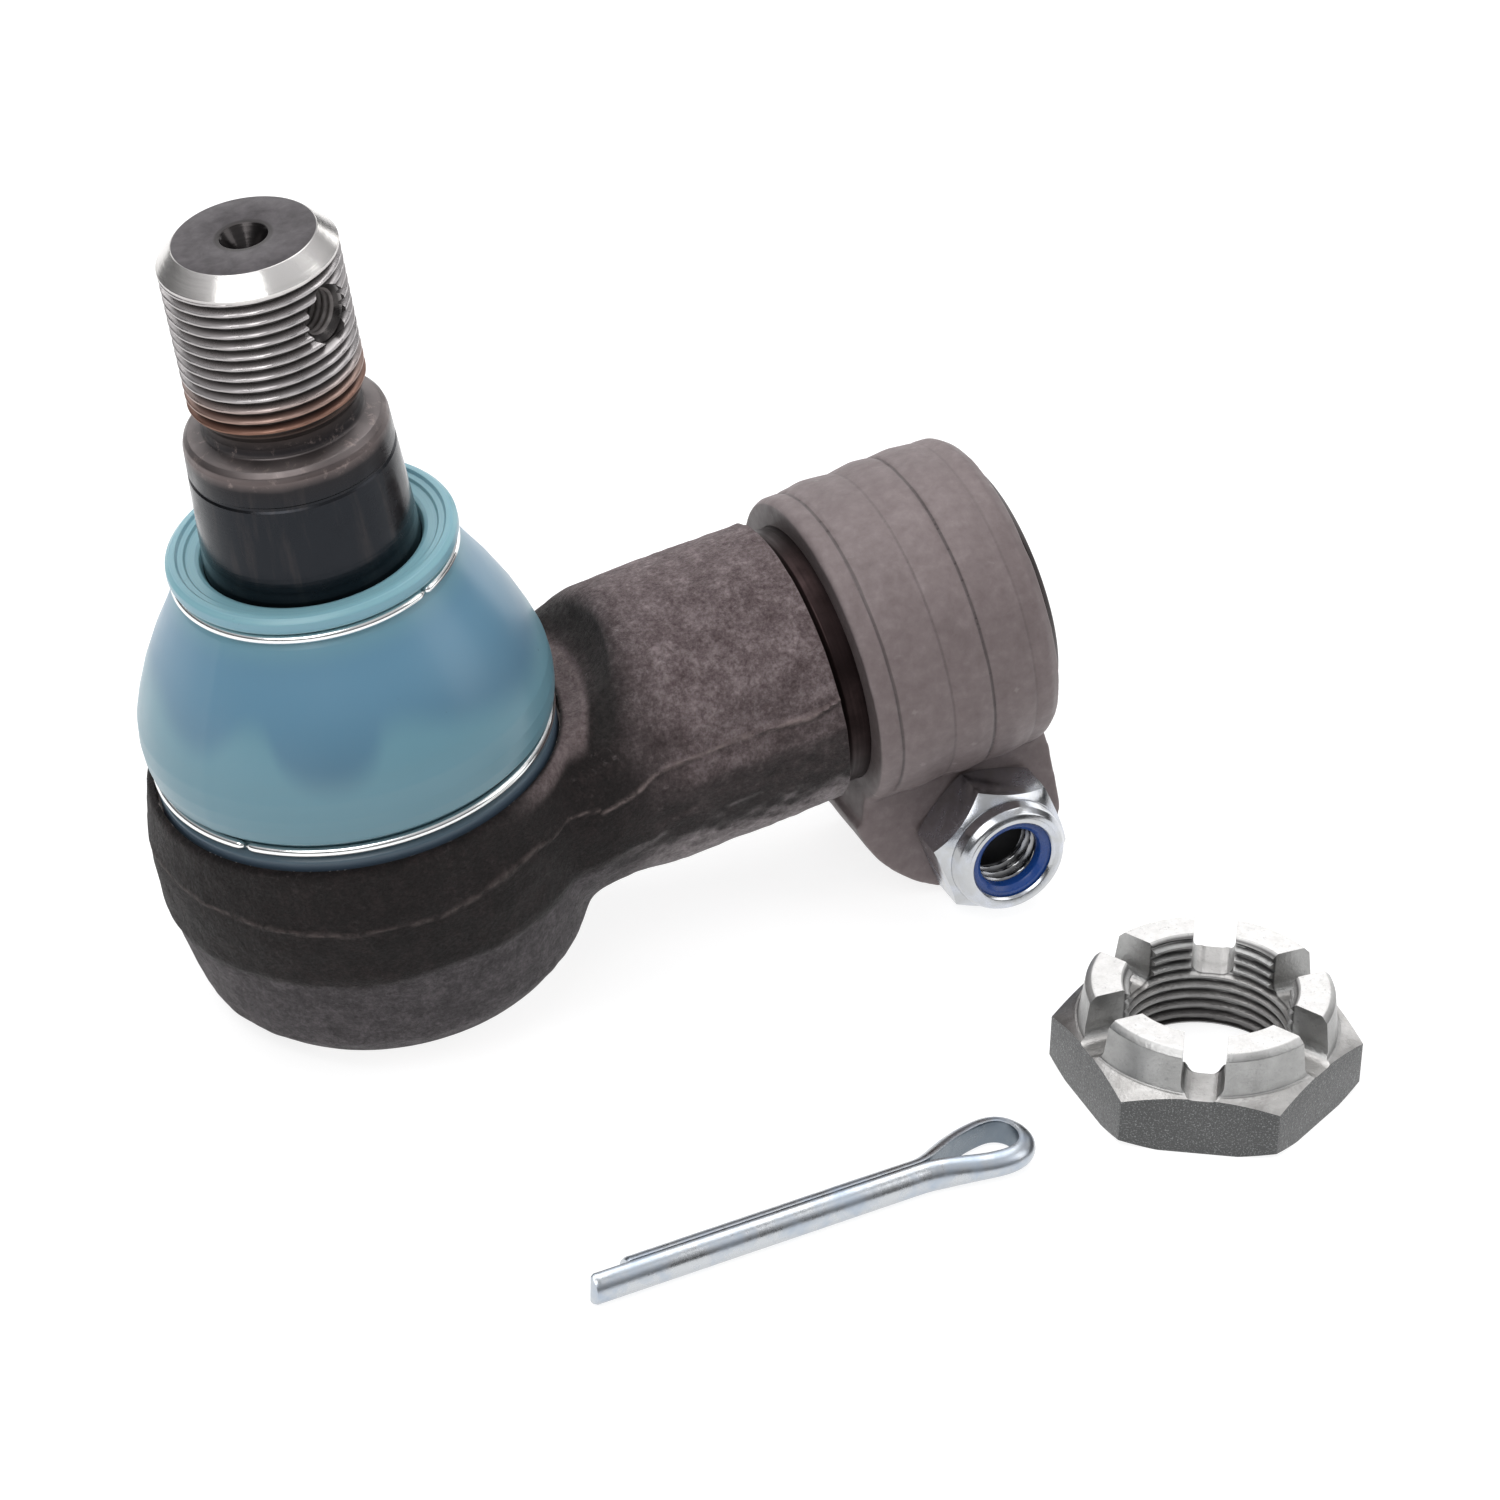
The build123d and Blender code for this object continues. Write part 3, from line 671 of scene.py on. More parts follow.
def m_clamp():
    m = Mat("clamp")
    x, y, z = m.xyz()
    nx, ny, nz = m.xyz(m.tc.outputs["Normal"])
    big = m.noise(40, 3, 0.5)
    mid = m.noise(520, 6, 0.7, 0.2)
    col = m.ramp(mid, [(0.3, (0.138, 0.110, 0.110)), (0.55, (0.170, 0.139, 0.139)), (0.75, (0.205, 0.171, 0.172))])
    col = m.mix(1.0, col, m.ramp(big, [(0.3, (0.92, 0.91, 0.91)), (0.7, (1.08, 1.07, 1.07))]), 'MULTIPLY')
    scuff = m.ramp(m.noise(1.0, 8, 0.75, 1.5, m.mapping((150, 420, 420))), [(0.63, 0), (0.72, 1)])
    col = m.mix(m.math('MULTIPLY', scuff, 0.30), col, (0.34, 0.31, 0.31))
    nick = m.ramp(m.noise(900, 7, 0.8, 0.4), [(0.66, 0), (0.74, 1)])
    col = m.mix(m.math('MULTIPLY', nick, 0.30), col, (0.36, 0.34, 0.33))
    # thin dark lines where the bands of the clamp meet
    wob = m.math('MULTIPLY', m.math('SUBTRACT', m.noise(60, 3, 0.5), 0.5), 0.0006)
    xx = m.math('ADD', x, wob)
    up = m.maprange(z, -0.0150, -0.0120, 0, 1)
    for xc, w, s in ((0.0650, 0.00012, 0.50), (0.0723, 0.00010, 0.18), (0.0779, 0.00012, 0.50), (0.0841, 0.00010, 0.14)):
        l = m.maprange(m.math('ABSOLUTE', m.math('SUBTRACT', xx, xc)), w, w * 2.2, 1, 0)
        col = m.mix(m.math('MULTIPLY', m.math('MULTIPLY', l, up), s), col, (0.035, 0.028, 0.028))
    # painted shade: faces turned towards the housing (-X) are darkened
    face = m.maprange(nx, -0.80, -0.95, 0, 1)
    col = m.mix(m.math('MULTIPLY', face, 0.55), col, (0.050, 0.042, 0.041))
    wear = m.maprange(m.pointiness(), 0.53, 0.62, 0, 1)
    col = m.mix(m.math('MULTIPLY', wear, 0.25), col, (0.36, 0.33, 0.32))
    # painted shade: hollows and creases (low pointiness) are darkened
    crease_shade = m.maprange(m.pointiness(), 0.49, 0.44, 0, 1)
    col = m.mix(m.math('MULTIPLY', crease_shade, 0.8), col, (0.030, 0.025, 0.025))
    h = m.math('ADD', m.math('MULTIPLY', m.noise(1700, 6, 0.65), 0.5), m.math('MULTIPLY', m.noise(260, 4, 0.5), 0.4))
    m.set(color=col, metal=0.2, rough=m.maprange(m.noise(700, 4, 0.6), 0.3, 0.7, 0.44, 0.56), spec=0.38, normal=m.bump(h, 0.28, 0.00022))
    return m


def m_zinc(name, col=(0.74, 0.75, 0.76), rough=0.2, bump=0.15, dark=(0.32, 0.33, 0.35), tint=(0.60, 0.63, 0.70), bore=0, inside=None):
    m = Mat(name)
    n1 = m.noise(240, 5, 0.6, 0.5)
    n2 = m.noise(1800, 5, 0.65)
    c = m.mix(m.ramp(n1, [(0.42, 0), (0.70, 1)]), col, tint)
    c = m.mix(m.math('MULTIPLY', m.ramp(n2, [(0.62, 0), (0.75, 1)]), 0.35), c, dark)
    # painted shade: hollows and creases (low pointiness) are darkened
    crease_shade = m.maprange(m.pointiness(), 0.49, 0.44, 0, 1)
    c = m.mix(m.math('MULTIPLY', crease_shade, 0.6), c, dark)
    # painted shade: the bore is darkened almost to black, as a dark hole
    if bore:
        x, y, z = m.xyz()
        r = m.math('SQRT', m.math('ADD', m.math('MULTIPLY', x, x), m.math('MULTIPLY', y, y)))
        c = m.mix(m.math('MULTIPLY', m.maprange(r, bore + 0.0005, bore + 0.0003, 0, 1), 0.55), c, (0.16, 0.155, 0.15))
        c = m.mix(m.math('MULTIPLY', m.maprange(r, bore - 0.0002, bore + 0.0001, 0, 1), m.maprange(r, bore + 0.0005, bore + 0.0003, 0, 0.7)), c, (0.02, 0.02, 0.02))
    # painted shade: faces marked inside are darkened
    if inside:
        c = m.mix(m.math('MULTIPLY', m.attr("inside"), 0.8), c, inside)
    m.set(color=c, metal=1.0, rough=m.maprange(m.math('ADD', n1, m.math('MULTIPLY', n2, 0.4)), 0.5, 0.9, rough - 0.06, rough + 0.12),
          normal=m.bump(m.math('ADD', n2, m.math('MULTIPLY', m.noise(420, 4, 0.55), 0.9)), bump, 0.0001))
    return m


def m_nut():
    """Matt zinc: pale tops and chamfer, the tops partly a struck finish and partly painted highlight; dark speckled
    flats, partly painted shade on the sides.
    """
    m = Mat("nut")
    x, y, z = m.xyz()
    nx, ny, nz = m.xyz(m.tc.outputs["Normal"])
    r = m.math('SQRT', m.math('ADD', m.math('MULTIPLY', x, x), m.math('MULTIPLY', y, y)))
    n1 = m.noise(200, 5, 0.6, 0.4)
    spk = m.noise(2600, 3, 0.6)
    c = m.ramp(n1, [(0.3, (0.29, 0.29, 0.285)), (0.7, (0.44, 0.44, 0.435))])
    # partly painted shade: the upright hex flats are painted dark as well as speckled
    flat = m.math('MULTIPLY', m.maprange(m.math('ABSOLUTE', nz), 0.25, 0.12, 0, 1), m.maprange(r, 0.0163, 0.0166, 0, 1))
    cf = m.mix(m.ramp(m.noise(4300, 3, 0.75), [(0.54, 0), (0.66, 1)]), (0.050, 0.051, 0.052), (0.24, 0.25, 0.25))
    c = m.mix(m.math('MULTIPLY', flat, 0.92), c, cf)
    # partly painted highlight: the tops of the teeth are painted pale
    top = m.math('MULTIPLY', m.maprange(nz, 0.6, 0.9, 0, 1), m.maprange(z, 0.0130, 0.0136, 0, 1))
    ct = m.ramp(m.noise(700, 6, 0.7), [(0.35, (0.70, 0.69, 0.675)), (0.6, (0.80, 0.79, 0.78))])
    c = m.mix(top, c, ct)
    cham = m.math('MULTIPLY', m.maprange(nz, 0.5, 0.75, 0, 1), m.maprange(z, 0.0085, 0.0082, 0, 1))
    c = m.mix(m.math('MULTIPLY', cham, 0.9), c, m.ramp(n1, [(0.35, (0.34, 0.33, 0.32)), (0.65, (0.50, 0.49, 0.48))]))
    c = m.mix(m.math('MULTIPLY', m.ramp(m.noise(1900, 4, 0.7, 0, m.mapping((1, 1, 1), loc=(2, 5, 1))), [(0.58, 0), (0.70, 1)]), 0.35), c, (0.16, 0.16, 0.16))
    inside = m.maprange(r, 0.01115, 0.0109, 0, 1)
    c = m.mix(m.math('MULTIPLY', inside, m.maprange(z, 0.008, 0.0005, 0.15, 0.85)), c, (0.050, 0.045, 0.045))
    root = m.math('MULTIPLY', inside, m.maprange(r, 0.01055, 0.0109, 0, 1))
    c = m.mix(m.math('MULTIPLY', root, 0.8), c, (0.03, 0.028, 0.028))
    # painted shade: hollows and creases (low pointiness) are darkened
    crease_shade = m.maprange(m.pointiness(), 0.49, 0.43, 0, 1)
    c = m.mix(m.math('MULTIPLY', crease_shade, 0.6), c, (0.06, 0.06, 0.06))
    rg = m.maprange(spk, 0.3, 0.7, 0.30, 0.44)
    rg = m.math('ADD', rg, m.math('MULTIPLY', top, 0.25))
    m.set(color=c, metal=m.math('SUBTRACT', 0.95, m.math('MULTIPLY', m.math('MAXIMUM', top, flat), 0.45)), rough=rg,
          normal=m.bump(m.math('ADD', spk, m.math('MULTIPLY', m.noise(500, 4, 0.6), 0.9)), 0.36, 0.00016))
    return m


def m_plastic(name, col, rough=0.3, sss=0.0, grain=900, amount=0.12):
    m = Mat(name)
    n = m.noise(grain, 4, 0.6)
    c = m.mix(m.maprange(m.noise(140, 4, 0.5), 0.3, 0.7, 0, 1), col, tuple(v * 0.72 for v in col))
    m.set(color=c, rough=m.maprange(n, 0.3, 0.7, rough - 0.05, rough + 0.08), sss=sss, sss_s=0.001, normal=m.bump(n, amount, 0.0001))
    return m


# ---------------------------------------------------------------- ball stud
def cone_r(z): return 13.75 - 0.05 * (z - 38.3)


def make_stud():
    zb = math.sqrt(16.5 ** 2 - 9.5 ** 2)
    ball = [(16.5 * math.sin(t), -16.5 * math.cos(t)) for t in np.linspace(0, pi - math.asin(9.5 / 16.5), 60)]
    ball[0] = (0, -16.5)
    prof = [(p[0], p[1], 0) for p in ball[:-1]] + [(9.5, zb, 0.6), (9.5, 17.5, 2.0), (10.4, 20.0, 2.0), (13.0, 24.3, 1), (13.9, 25.4, 0.6),
            (cone_r(26.5), 26.5, 0.6), (cone_r(55.95), 55.95, 0.05), (cone_r(56.2) - 0.22, 56.2, 0.05), (cone_r(56.55) - 0.22, 56.55, 0.05), (cone_r(56.8), 56.8, 0.05),
            (cone_r(60.0), 60.0, 0.3), (12.45, 60.7, 0.5), (11.9, 61.25, 0.4), (11.2, 61.5, 0.3), (9.95, 61.9, 0.4), (9.75, 63.0, 0.5), (9.8, 64.2, 0.2), (10.08, 64.9, 0.05)]
    p1 = soften(prof, 0.2, 4)
    p1 = [p1[0]] + [p for p in p1[1:] if p[0] > 1e-6]
    lower = p1 + [(0, 64.9)]
    V, F = lathe_mesh(lower, 192)
    a = new_obj("stud_a", V, F)
    V, F = helix_mesh(64.8, 85.6, 11.0, 10.10, 1.5, vee, n=240, dz=0.075, fade0=1.2, fade1=0)
    th = new_obj("stud_t", V, F)
    # chamfer and end face: keep what lies inside this cap
    cap = soften([(0, 64.0), (11.6, 64.0), (11.6, 84.2, 0), (11.0, 84.75, 0.1), (8.79, 87.07, 0.25), (3.0, 87.07, 0.15), (0.9, 83.4, 0.2), (0.75, 80.4, 0.1), (0, 80.0)], 0.1, 3)
    c = lathe_obj("stud_cap", cap, 192)
    V, F = lathe_mesh([(0, 84.4), (11.0, 84.4), (11.0, 84.75), (9.0, 88.0), (0, 88.0)], 192)
    plug = new_obj("stud_plug", V, F)
    boolean(th, plug, 'UNION')
    boolean(th, c, 'INTERSECT')
    hole = lathe_obj("hole", [(0, -14), (3.6, -14), (3.6, -9.9)] + [(2.75 + 0.11 * math.sin(2 * pi * q / 0.9), q) for q in np.linspace(-9.2, 9.2, 150)] + [(3.6, 9.9), (3.6, 14), (0, 14)], 64, 'X',
                     LAID @ Matrix.Translation((0, 0, 0.0785)) @ Matrix.Rotation(math.radians(-56.6), 4, 'Z'))
    boolean(th, hole)
    ob = join([a, th], "ball_stud_turned")
    sharp_only(ob, 32)
    assign(ob, m_stud())
    ob.data.materials.append(m_machined("hole_wall", (0.30, 0.275, 0.265), 'Z', 0.42, (0.11, 0.10, 0.10)).m)
    hm = ob.data.materials[1].node_tree.nodes["Principled BSDF"]; hm.inputs["Metallic"].default_value = 0.35
    me = ob.data
    cen = np.zeros(len(me.polygons) * 3, np.float32); me.polygons.foreach_get("center", cen); cen = cen.reshape(-1, 3) * 1000
    ax = np.array([math.cos(math.radians(-56.6)), math.sin(math.radians(-56.6)), 0])
    q = cen - np.array([0, 0, 78.5]); along = q @ ax
    off = np.linalg.norm(q - along[:, None] * ax, axis=1)
    mi = np.zeros(len(cen), np.int32); mi[off < 2.95] = 1
    me.polygons.foreach_set("material_index", mi); me.update()
    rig.ride(ob, "stud"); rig.replaces(ob, "ball_stud"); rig.slot(ob, "stud_steel")
    return ob


# --------------------------------------------------------------- dust boot
def make_boot():
    outer = [(25.5, 8.9), (25.5, 12.9, 0.4), (24.7, 13.45, 0.2), (24.45, 14.3, 0.5), (24.9, 15.1, 0.5), (25.8, 15.9, 0.8), (26.15, 17.6, 2), (26.25, 19.6, 2), (26.0, 22.0, 3),
             (25.2, 24.6, 4), (23.9, 28.0, 6), (22.0, 31.9, 6), (20.2, 35.0, 6), (18.9, 37.4, 3), (17.8, 39.4, 1), (17.15, 40.3, 0.3), (16.95, 40.95, 0.5), (17.15, 41.6, 0.2),
             (18.0, 41.95, 0.25), (18.25, 42.5, 0.35), (18.2, 43.4, 0.35)]
    top = [(17.6, 43.95, 0.3), (16.9, 44.02, 0.15), (16.6, 43.65, 0.15), (15.9, 43.65, 0.15), (15.65, 43.3, 0.15), (14.5, 43.25, 0.2), (14.0, 43.05, 0.3), (13.62, 42.2, 0.2)]
    inner = [(13.75, 41.0, 0.3), (14.8, 40.2, 0.5), (15.3, 38.9, 1), (16.4, 37.0, 2), (18.1, 34.2, 3), (20.1, 30.8, 4), (22.0, 27.0, 4), (23.3, 23.6, 3), (24.0, 21.0, 2), (24.1, 19.0, 2),
             (22.7, 16.2, 1), (22.1, 14.0, 0.5), (22.1, 8.9, 0.3)]
    prof = soften(outer + top + inner, 0.3, 4, closed=True)
    ob = lathe_obj("boot_moulded", prof, 200)
    m = ob.data
    # faint mould seam down the far left
    co = get_co(ob)
    rr = np.hypot(co[:, 0], co[:, 1]); th = np.degrees(np.arctan2(co[:, 1], co[:, 0]))
    out = rr > np.interp(co[:, 2], [8, 15, 20, 28, 36, 40, 44], [23.5, 23.6, 25.2, 23.0, 18.3, 16.2, 17.2])
    for a0 in (-152, 28):
        d = np.abs((th - a0 + 180) % 360 - 180) * pi / 180 * rr
        bumpv = 0.10 * np.clip(1 - d / 0.8, 0, 1) * ((co[:, 2] > 15.5) & (co[:, 2] < 40))
        k = 1 + np.where(out, bumpv, 0) / np.maximum(rr, 1e-6)
        co[:, 0] *= k; co[:, 1] *= k
    set_co(ob, co)
    at = ob.data.attributes.new("moulded", 'FLOAT_VECTOR', 'POINT')
    at.data.foreach_set("vector", (co * 0.001).astype(np.float32).ravel())
    assign(ob, m_boot())
    return ob


def split_z(ob, z, name_low, name_high):
    """Two copies of a piece, cut across the stud at height z; the cut is left open."""
    outs = []
    for nm, s in ((name_low, 1), (name_high, -1)):
        o = ob.copy(); o.data = ob.data.copy(); o.name = nm; coll.objects.link(o)
        bm = bmesh.new(); bm.from_mesh(o.data)
        g = bm.verts[:] + bm.edges[:] + bm.faces[:]
        r = bmesh.ops.bisect_plane(bm, geom=g, plane_co=(0, 0, z * 0.001), plane_no=(0, 0, s), clear_outer=True)
        edges = [e for e in r["geom_cut"] if isinstance(e, bmesh.types.BMEdge)]
        bm.to_mesh(o.data); bm.free()
        outs.append(o)
    bpy.data.objects.remove(ob, do_unlink=True)
    return outs


def wire_ring(name, R, w, z, a_gap, gap, mat, body, node, tail=None):
    """Round wire ring about the stud, its ends butted, with a small spread at the joint."""
    n = 260
    th = np.radians(a_gap) + np.linspace(math.radians(gap) / 2, 2 * pi - math.radians(gap) / 2, n)
    cen = np.stack([R * np.cos(th), R * np.sin(th), np.full(n, z)], -1)
    m = 14
    V = []
    F = []
    for i in range(n):
        rad = np.array([math.cos(th[i]), math.sin(th[i]), 0]); up = np.array([0, 0, 1.0])
        ww = w * (0.55 if i in (0, n - 1) else (0.9 if i in (1, n - 2) else 1))
        for j in range(m):
            a = 2 * pi * j / m
            V.append(cen[i] + ww * (math.cos(a) * rad + math.sin(a) * up))
    F = grid_faces(n, m, False, True)
    c0 = len(V); V.append(cen[0]); c1 = len(V); V.append(cen[-1])
    for j in range(m):
        k = (j + 1) % m
        F.append((c0, j, k)); F.append((c1, (n - 1) * m + k, (n - 1) * m + j))
    ob = new_obj(name, V, F)
    assign(ob, mat)
    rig.ride(ob, body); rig.replaces(ob, node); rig.slot(ob, "ring_wire")
    return ob


# ----------------------------------------------------------------- housing
def make_housing():
    eye = lathe_obj("h_eye", soften([(0, -20.2), (21.6, -20.2, 0.4), (23.6, -18.9, 2), (25.4, -16.8, 2), (26.3, -13.6, 3), (27.3, -8.0, 6), (28.05, -3.6, 1),
                                     (28.3, 0.5, 4), (28.15, 4.4, 2), (27.45, 8.0, 3), (26.75, 12.2, 0.4), (0, 12.2)], 0.5, 4), 180)
    shank = lathe_obj("h_shank", soften([(0, 0), (17.6, 0), (17.7, 26, 4), (19.05, 35, 6), (19.05, 60.5), (0, 60.5)], 0.3, 3), 160, 'X')
    # web: superellipse sections from inside the eye out to the shank
    V, F = [], []
    secs = [(8, 20, 14.5, -2.2), (16, 21.0, 14.8, -1.8), (23, 20.8, 15.2, -1.2), (28, 19.8, 16.0, -0.8), (34, 18.6, 17.4, -0.3), (42, 17.8, 17.6, 0)]
    ns = 96
    for (x, a, b, zc) in secs:
        for j in range(ns):
            t = 2 * pi * j / ns
            c, s = math.cos(t), math.sin(t)
            V.append((x, a * np.sign(c) * abs(c) ** 0.9, zc + b * np.sign(s) * abs(s) ** 0.9))
    F = grid_faces(len(secs), ns, False, True)
    c0 = len(V); V.append((8, 0, 0)); c1 = len(V); V.append((42, 0, 0))
    for j in range(ns):
        k = (j + 1) % ns
        F.append((c0, j, k)); F.append((c1, (len(secs) - 1) * ns + k, (len(secs) - 1) * ns + j))
    web = new_obj("h_web", V, F)
    ob = join([eye, shank, web], "housing_forged")
    voxel(ob, 0.45)
    co = get_co(ob)
    # the saddle between the boot's rim and the shank is forged in, then softened
    boolean(ob, lathe_obj("c_saddle", [(0, 11.9), (27.2, 11.9), (28.6, 12.2), (30.2, 13.8), (32.6, 18.0), (33.6, 24.0), (0, 24.0)], 180))
    voxel(ob, 0.42)
    co = get_co(ob)
    w = np.exp(-((co[:, 0] - 27) / 6.5) ** 2) * (np.abs(co[:, 1]) < 27) * (co[:, 2] < 7)
    w2 = np.exp(-((np.hypot(co[:, 0], co[:, 1]) - 30.5) / 3.6) ** 2) * (co[:, 2] > 7) * (co[:, 0] > 18) * 0.55
    co = laplace(ob, 90, 0.5 * np.clip(w * 1.3 + w2, 0, 1) + 0.012)
    co = laplace(ob, 2, np.full(len(co), 0.3))
    no = get_no(ob)
    rr = np.hypot(co[:, 0], co[:, 1]); rx = np.hypot(co[:, 1], co[:, 2])
    d = np.zeros(len(co))
    # deepest part of the saddle, against the shank's crest
    az = np.degrees(np.arctan2(co[:, 1], co[:, 0]))
    sad = np.exp(-((rr - 31.6) / 1.9) ** 2) * sstep(8.5, 11.5, co[:, 2]) * sstep(36, 22, np.abs(az + 6))
    d -= 1.15 * sad
    # die line: a thin uneven ridge left by the trimming, low towards the shank's root
    azl = np.clip(az, -180, 180)
    zl = np.where(co[:, 0] > 24, 4.9, np.interp(azl, [-180, -150, -120, -92, -76, -62, -46, -34, -24, 0, 24, 40, 60, 90, 180],
                                               [5.0, 4.6, 3.7, 3.4, 4.4, 4.9, 4.3, 3.2, 3.0, 4.0, 3.0, 3.4, 4.6, 4.4, 5.0]))
    zl = np.where((co[:, 0] > 24) & (co[:, 0] < 34), np.interp(co[:, 0], [24, 28, 34], [3.1, 3.6, 4.9]), zl) + 0.45 * vnoise(co, 6.0) + 0.25 * vnoise(co + 40, 2.4)
    wl = np.clip(1 - np.abs(co[:, 2] - zl) / (0.50 + 0.20 * vnoise(co + 50, 6.0)), 0, 1)
    d += (0.16 + 0.20 * vnoise(co + 20, 5.0)).clip(0.02) * wl
    # above the line the top die sits a little proud
    d -= 0.12 * sstep(0.4, -0.4, co[:, 2] - zl) * sstep(-4, -2, co[:, 2])
    # the lower half is a touch smaller: a soft step under the waist
    stepz = -4.9 + 0.8 * vnoise(co, 7.0)
    d -= 0.30 * sstep(0.7, -0.7, co[:, 2] - stepz) * sstep(36, 26, co[:, 0])
    # shank: shallow facets from the dies
    ang = np.degrees(np.arctan2(co[:, 2], co[:, 1]))
    fac = np.abs(((ang + 4) % 36) - 18) / 18
    d += 0.42 * (fac ** 1.3 - 0.45) * sstep(30, 40, co[:, 0]) * sstep(60.5, 57.5, co[:, 0]) * sstep(15, 5, co[:, 2]) * (rx < 21)
    # hammered skin
    d += 0.09 * vnoise(co, 3.1) + 0.075 * vnoise(co + 9, 1.4) + 0.12 * vnoise(co + 31, 8.0)
    keep_top = np.where(rr < 29, sstep(12.0, 10.5, co[:, 2]), 1)
    keep_bot = sstep(-19.9, -18.6, co[:, 2])
    co2 = co + no * (d * keep_top * keep_bot)[:, None]
    # stay inside the designed envelope
    rr2 = np.hypot(co2[:, 0], co2[:, 1]); lim = 28.28
    k = np.where((rr2 > lim) & (co2[:, 0] < 18), lim / np.maximum(rr2, 1e-6), 1)
    co2[:, 0] *= k; co2[:, 1] *= k
    co2[:, 2] = np.clip(co2[:, 2], -20.19, None)
    set_co(ob, co2)
    # painted highlight: this band marks where the rim is painted lighter
    band = sstep(29.9, 28.8, rr) * sstep(26.0, 26.5, rr) * sstep(9.0, 10.8, co[:, 2]) * sstep(62, 38, np.abs(az + 6))
    # the saddle attribute carries the painted shade in the saddle's hollow
    for nm, val in (("dieline", wl), ("saddle", np.clip(sad * 1.25, 0, 1) * sstep(29.4, 30.6, rr)), ("rim_highlight_band", band)):
        at = ob.data.attributes.new(nm, 'FLOAT', 'POINT')
        at.data.foreach_set("value", val.astype(np.float32))
    # machined faces: rim and recess, bottom bore, shank shoulder
    cut = lathe_obj("c_top", [(0, 11.4), (21.8, 11.4), (21.8, 8.6), (25.9, 8.6), (25.9, 24.0), (0, 24.0)], 180)
    boolean(ob, cut)
    cut = lathe_obj("c_mouth", soften([(0, -19), (18.8, -19), (18.8, 8.8), (14.3, 8.8), (14.3, 9.6), (15.8, 11.2), (15.8, 13.0), (0, 13.0)], 0.0), 180)
    boolean(ob, cut)
    cut = lathe_obj("c_bot", [(0, -22), (17.4, -22), (17.4, -20.2), (16.6, -19.4), (16.6, -17.2), (18.8, -17.2), (18.8, -16.0), (0, -16.0)], 180)
    boolean(ob, cut)
    cut = lathe_obj("c_flat", [(0, -24), (40, -24), (40, -20.2), (0, -20.2)], 64)
    boolean(ob, cut)
    cut = lathe_obj("c_end", [(0, 58.2), (30, 58.2), (30, 70), (0, 70)], 96, 'X')
    boolean(ob, cut)
    sharp_only(ob, 38)
    assign(ob, m_forged())
    # machined skin where a cutter passed
    ob.data.materials.append(m_machined("eye_rim", (0.50, 0.46, 0.45), 'Z', 0.38, (0.22, 0.19, 0.18)).m)
    ob.data.materials.append(m_machined("shank_end", (0.16, 0.13, 0.13), 'X', 0.42, (0.06, 0.05, 0.05)).m)
    me = ob.data
    cen = np.zeros(len(me.polygons) * 3, np.float32); me.polygons.foreach_get("center", cen); cen = cen.reshape(-1, 3) * 1000
    nrm = np.zeros(len(me.polygons) * 3, np.float32); me.polygons.foreach_get("normal", nrm); nrm = nrm.reshape(-1, 3)
    rc = np.hypot(cen[:, 0], cen[:, 1])
    mi = np.zeros(len(cen), np.int32)
    mi[(rc < 25.93) & (cen[:, 2] > 8) & (cen[:, 0] < 60)] = 1
    mi[(rc < 21.4) & (cen[:, 2] < -15)] = 1
    mi[(np.abs(cen[:, 2] + 20.2) < 0.03) & (rc < 24)] = 1
    mi[(cen[:, 0] > 58.15)] = 2
    me.polygons.foreach_set("material_index", mi); me.update()
    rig.ride(ob, "housing"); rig.replaces(ob, "housing"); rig.slot(ob, "forged_steel")
    # turned neck with its internal thread and slot
    neck_out = soften([(13.2, 57.6), (16.6, 57.6), (16.75, 58.6, 0.5), (17.38, 59.4, 0.4), (17.38, 88.6, 0.3), (16.5, 89.5, 0.3), (14.6, 89.5, 0.2), (14.1, 88.9, 0.1)], 0.3, 3)
    V, F = lathe_mesh(neck_out + [(14.1, 57.6)], 192, 'X')
    neck = new_obj("neck", V, F)
    slotc = new_obj("c_slot", *box_mesh((66, -1.5, -25), (92, 1.5, -10)))
    boolean(neck, slotc)
    sharp_only(neck, 35)
    neck.name = "shank_neck"
    assign(neck, m_machined("neck_turned", (0.040, 0.027, 0.027), 'X', 0.36, (0.012, 0.008, 0.008)))
    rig.ride(neck, "housing"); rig.slot(neck, "forged_steel")
    V, F = helix_mesh(46.2, 88.9, 14.05, 13.19, 1.5, vee, n=160, dz=0.12, cap=False, fade0=0, fade1=0)
    # inside skin: a tube from the screw surface to a plain outside
    nz = len(V) // 160
    Vx = np.stack([V[:, 2], V[:, 1], -V[:, 0]], -1)
    outer = Vx.copy(); rad = np.hypot(outer[:, 1], outer[:, 2]); outer[:, 1] *= 14.6 / rad; outer[:, 2] *= 14.6 / rad
    A = np.concatenate([Vx, outer]); N = len(Vx)
    FF = grid_faces(160, nz, True) + [tuple(N + k for k in reversed(f)) for f in grid_faces(160, nz, True)]
    for i in range(160):
        j = (i + 1) % 160
        FF.append((i * nz, N + i * nz, N + j * nz, j * nz)); FF.append((i * nz + nz - 1, j * nz + nz - 1, N + j * nz + nz - 1, N + i * nz + nz - 1))
    tube = new_obj("shank_thread_skin", A, FF)
    slotc = new_obj("c_slot2", *box_mesh((66, -1.5, -25), (92, 1.5, -10)))
    boolean(tube, slotc)
    sharp_only(tube, 35)
    assign(tube, m_machined("thread_inside", (0.42, 0.40, 0.39), 'X', 0.34, (0.10, 0.09, 0.09)))
    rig.ride(tube, "housing"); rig.slot(tube, "forged_steel")
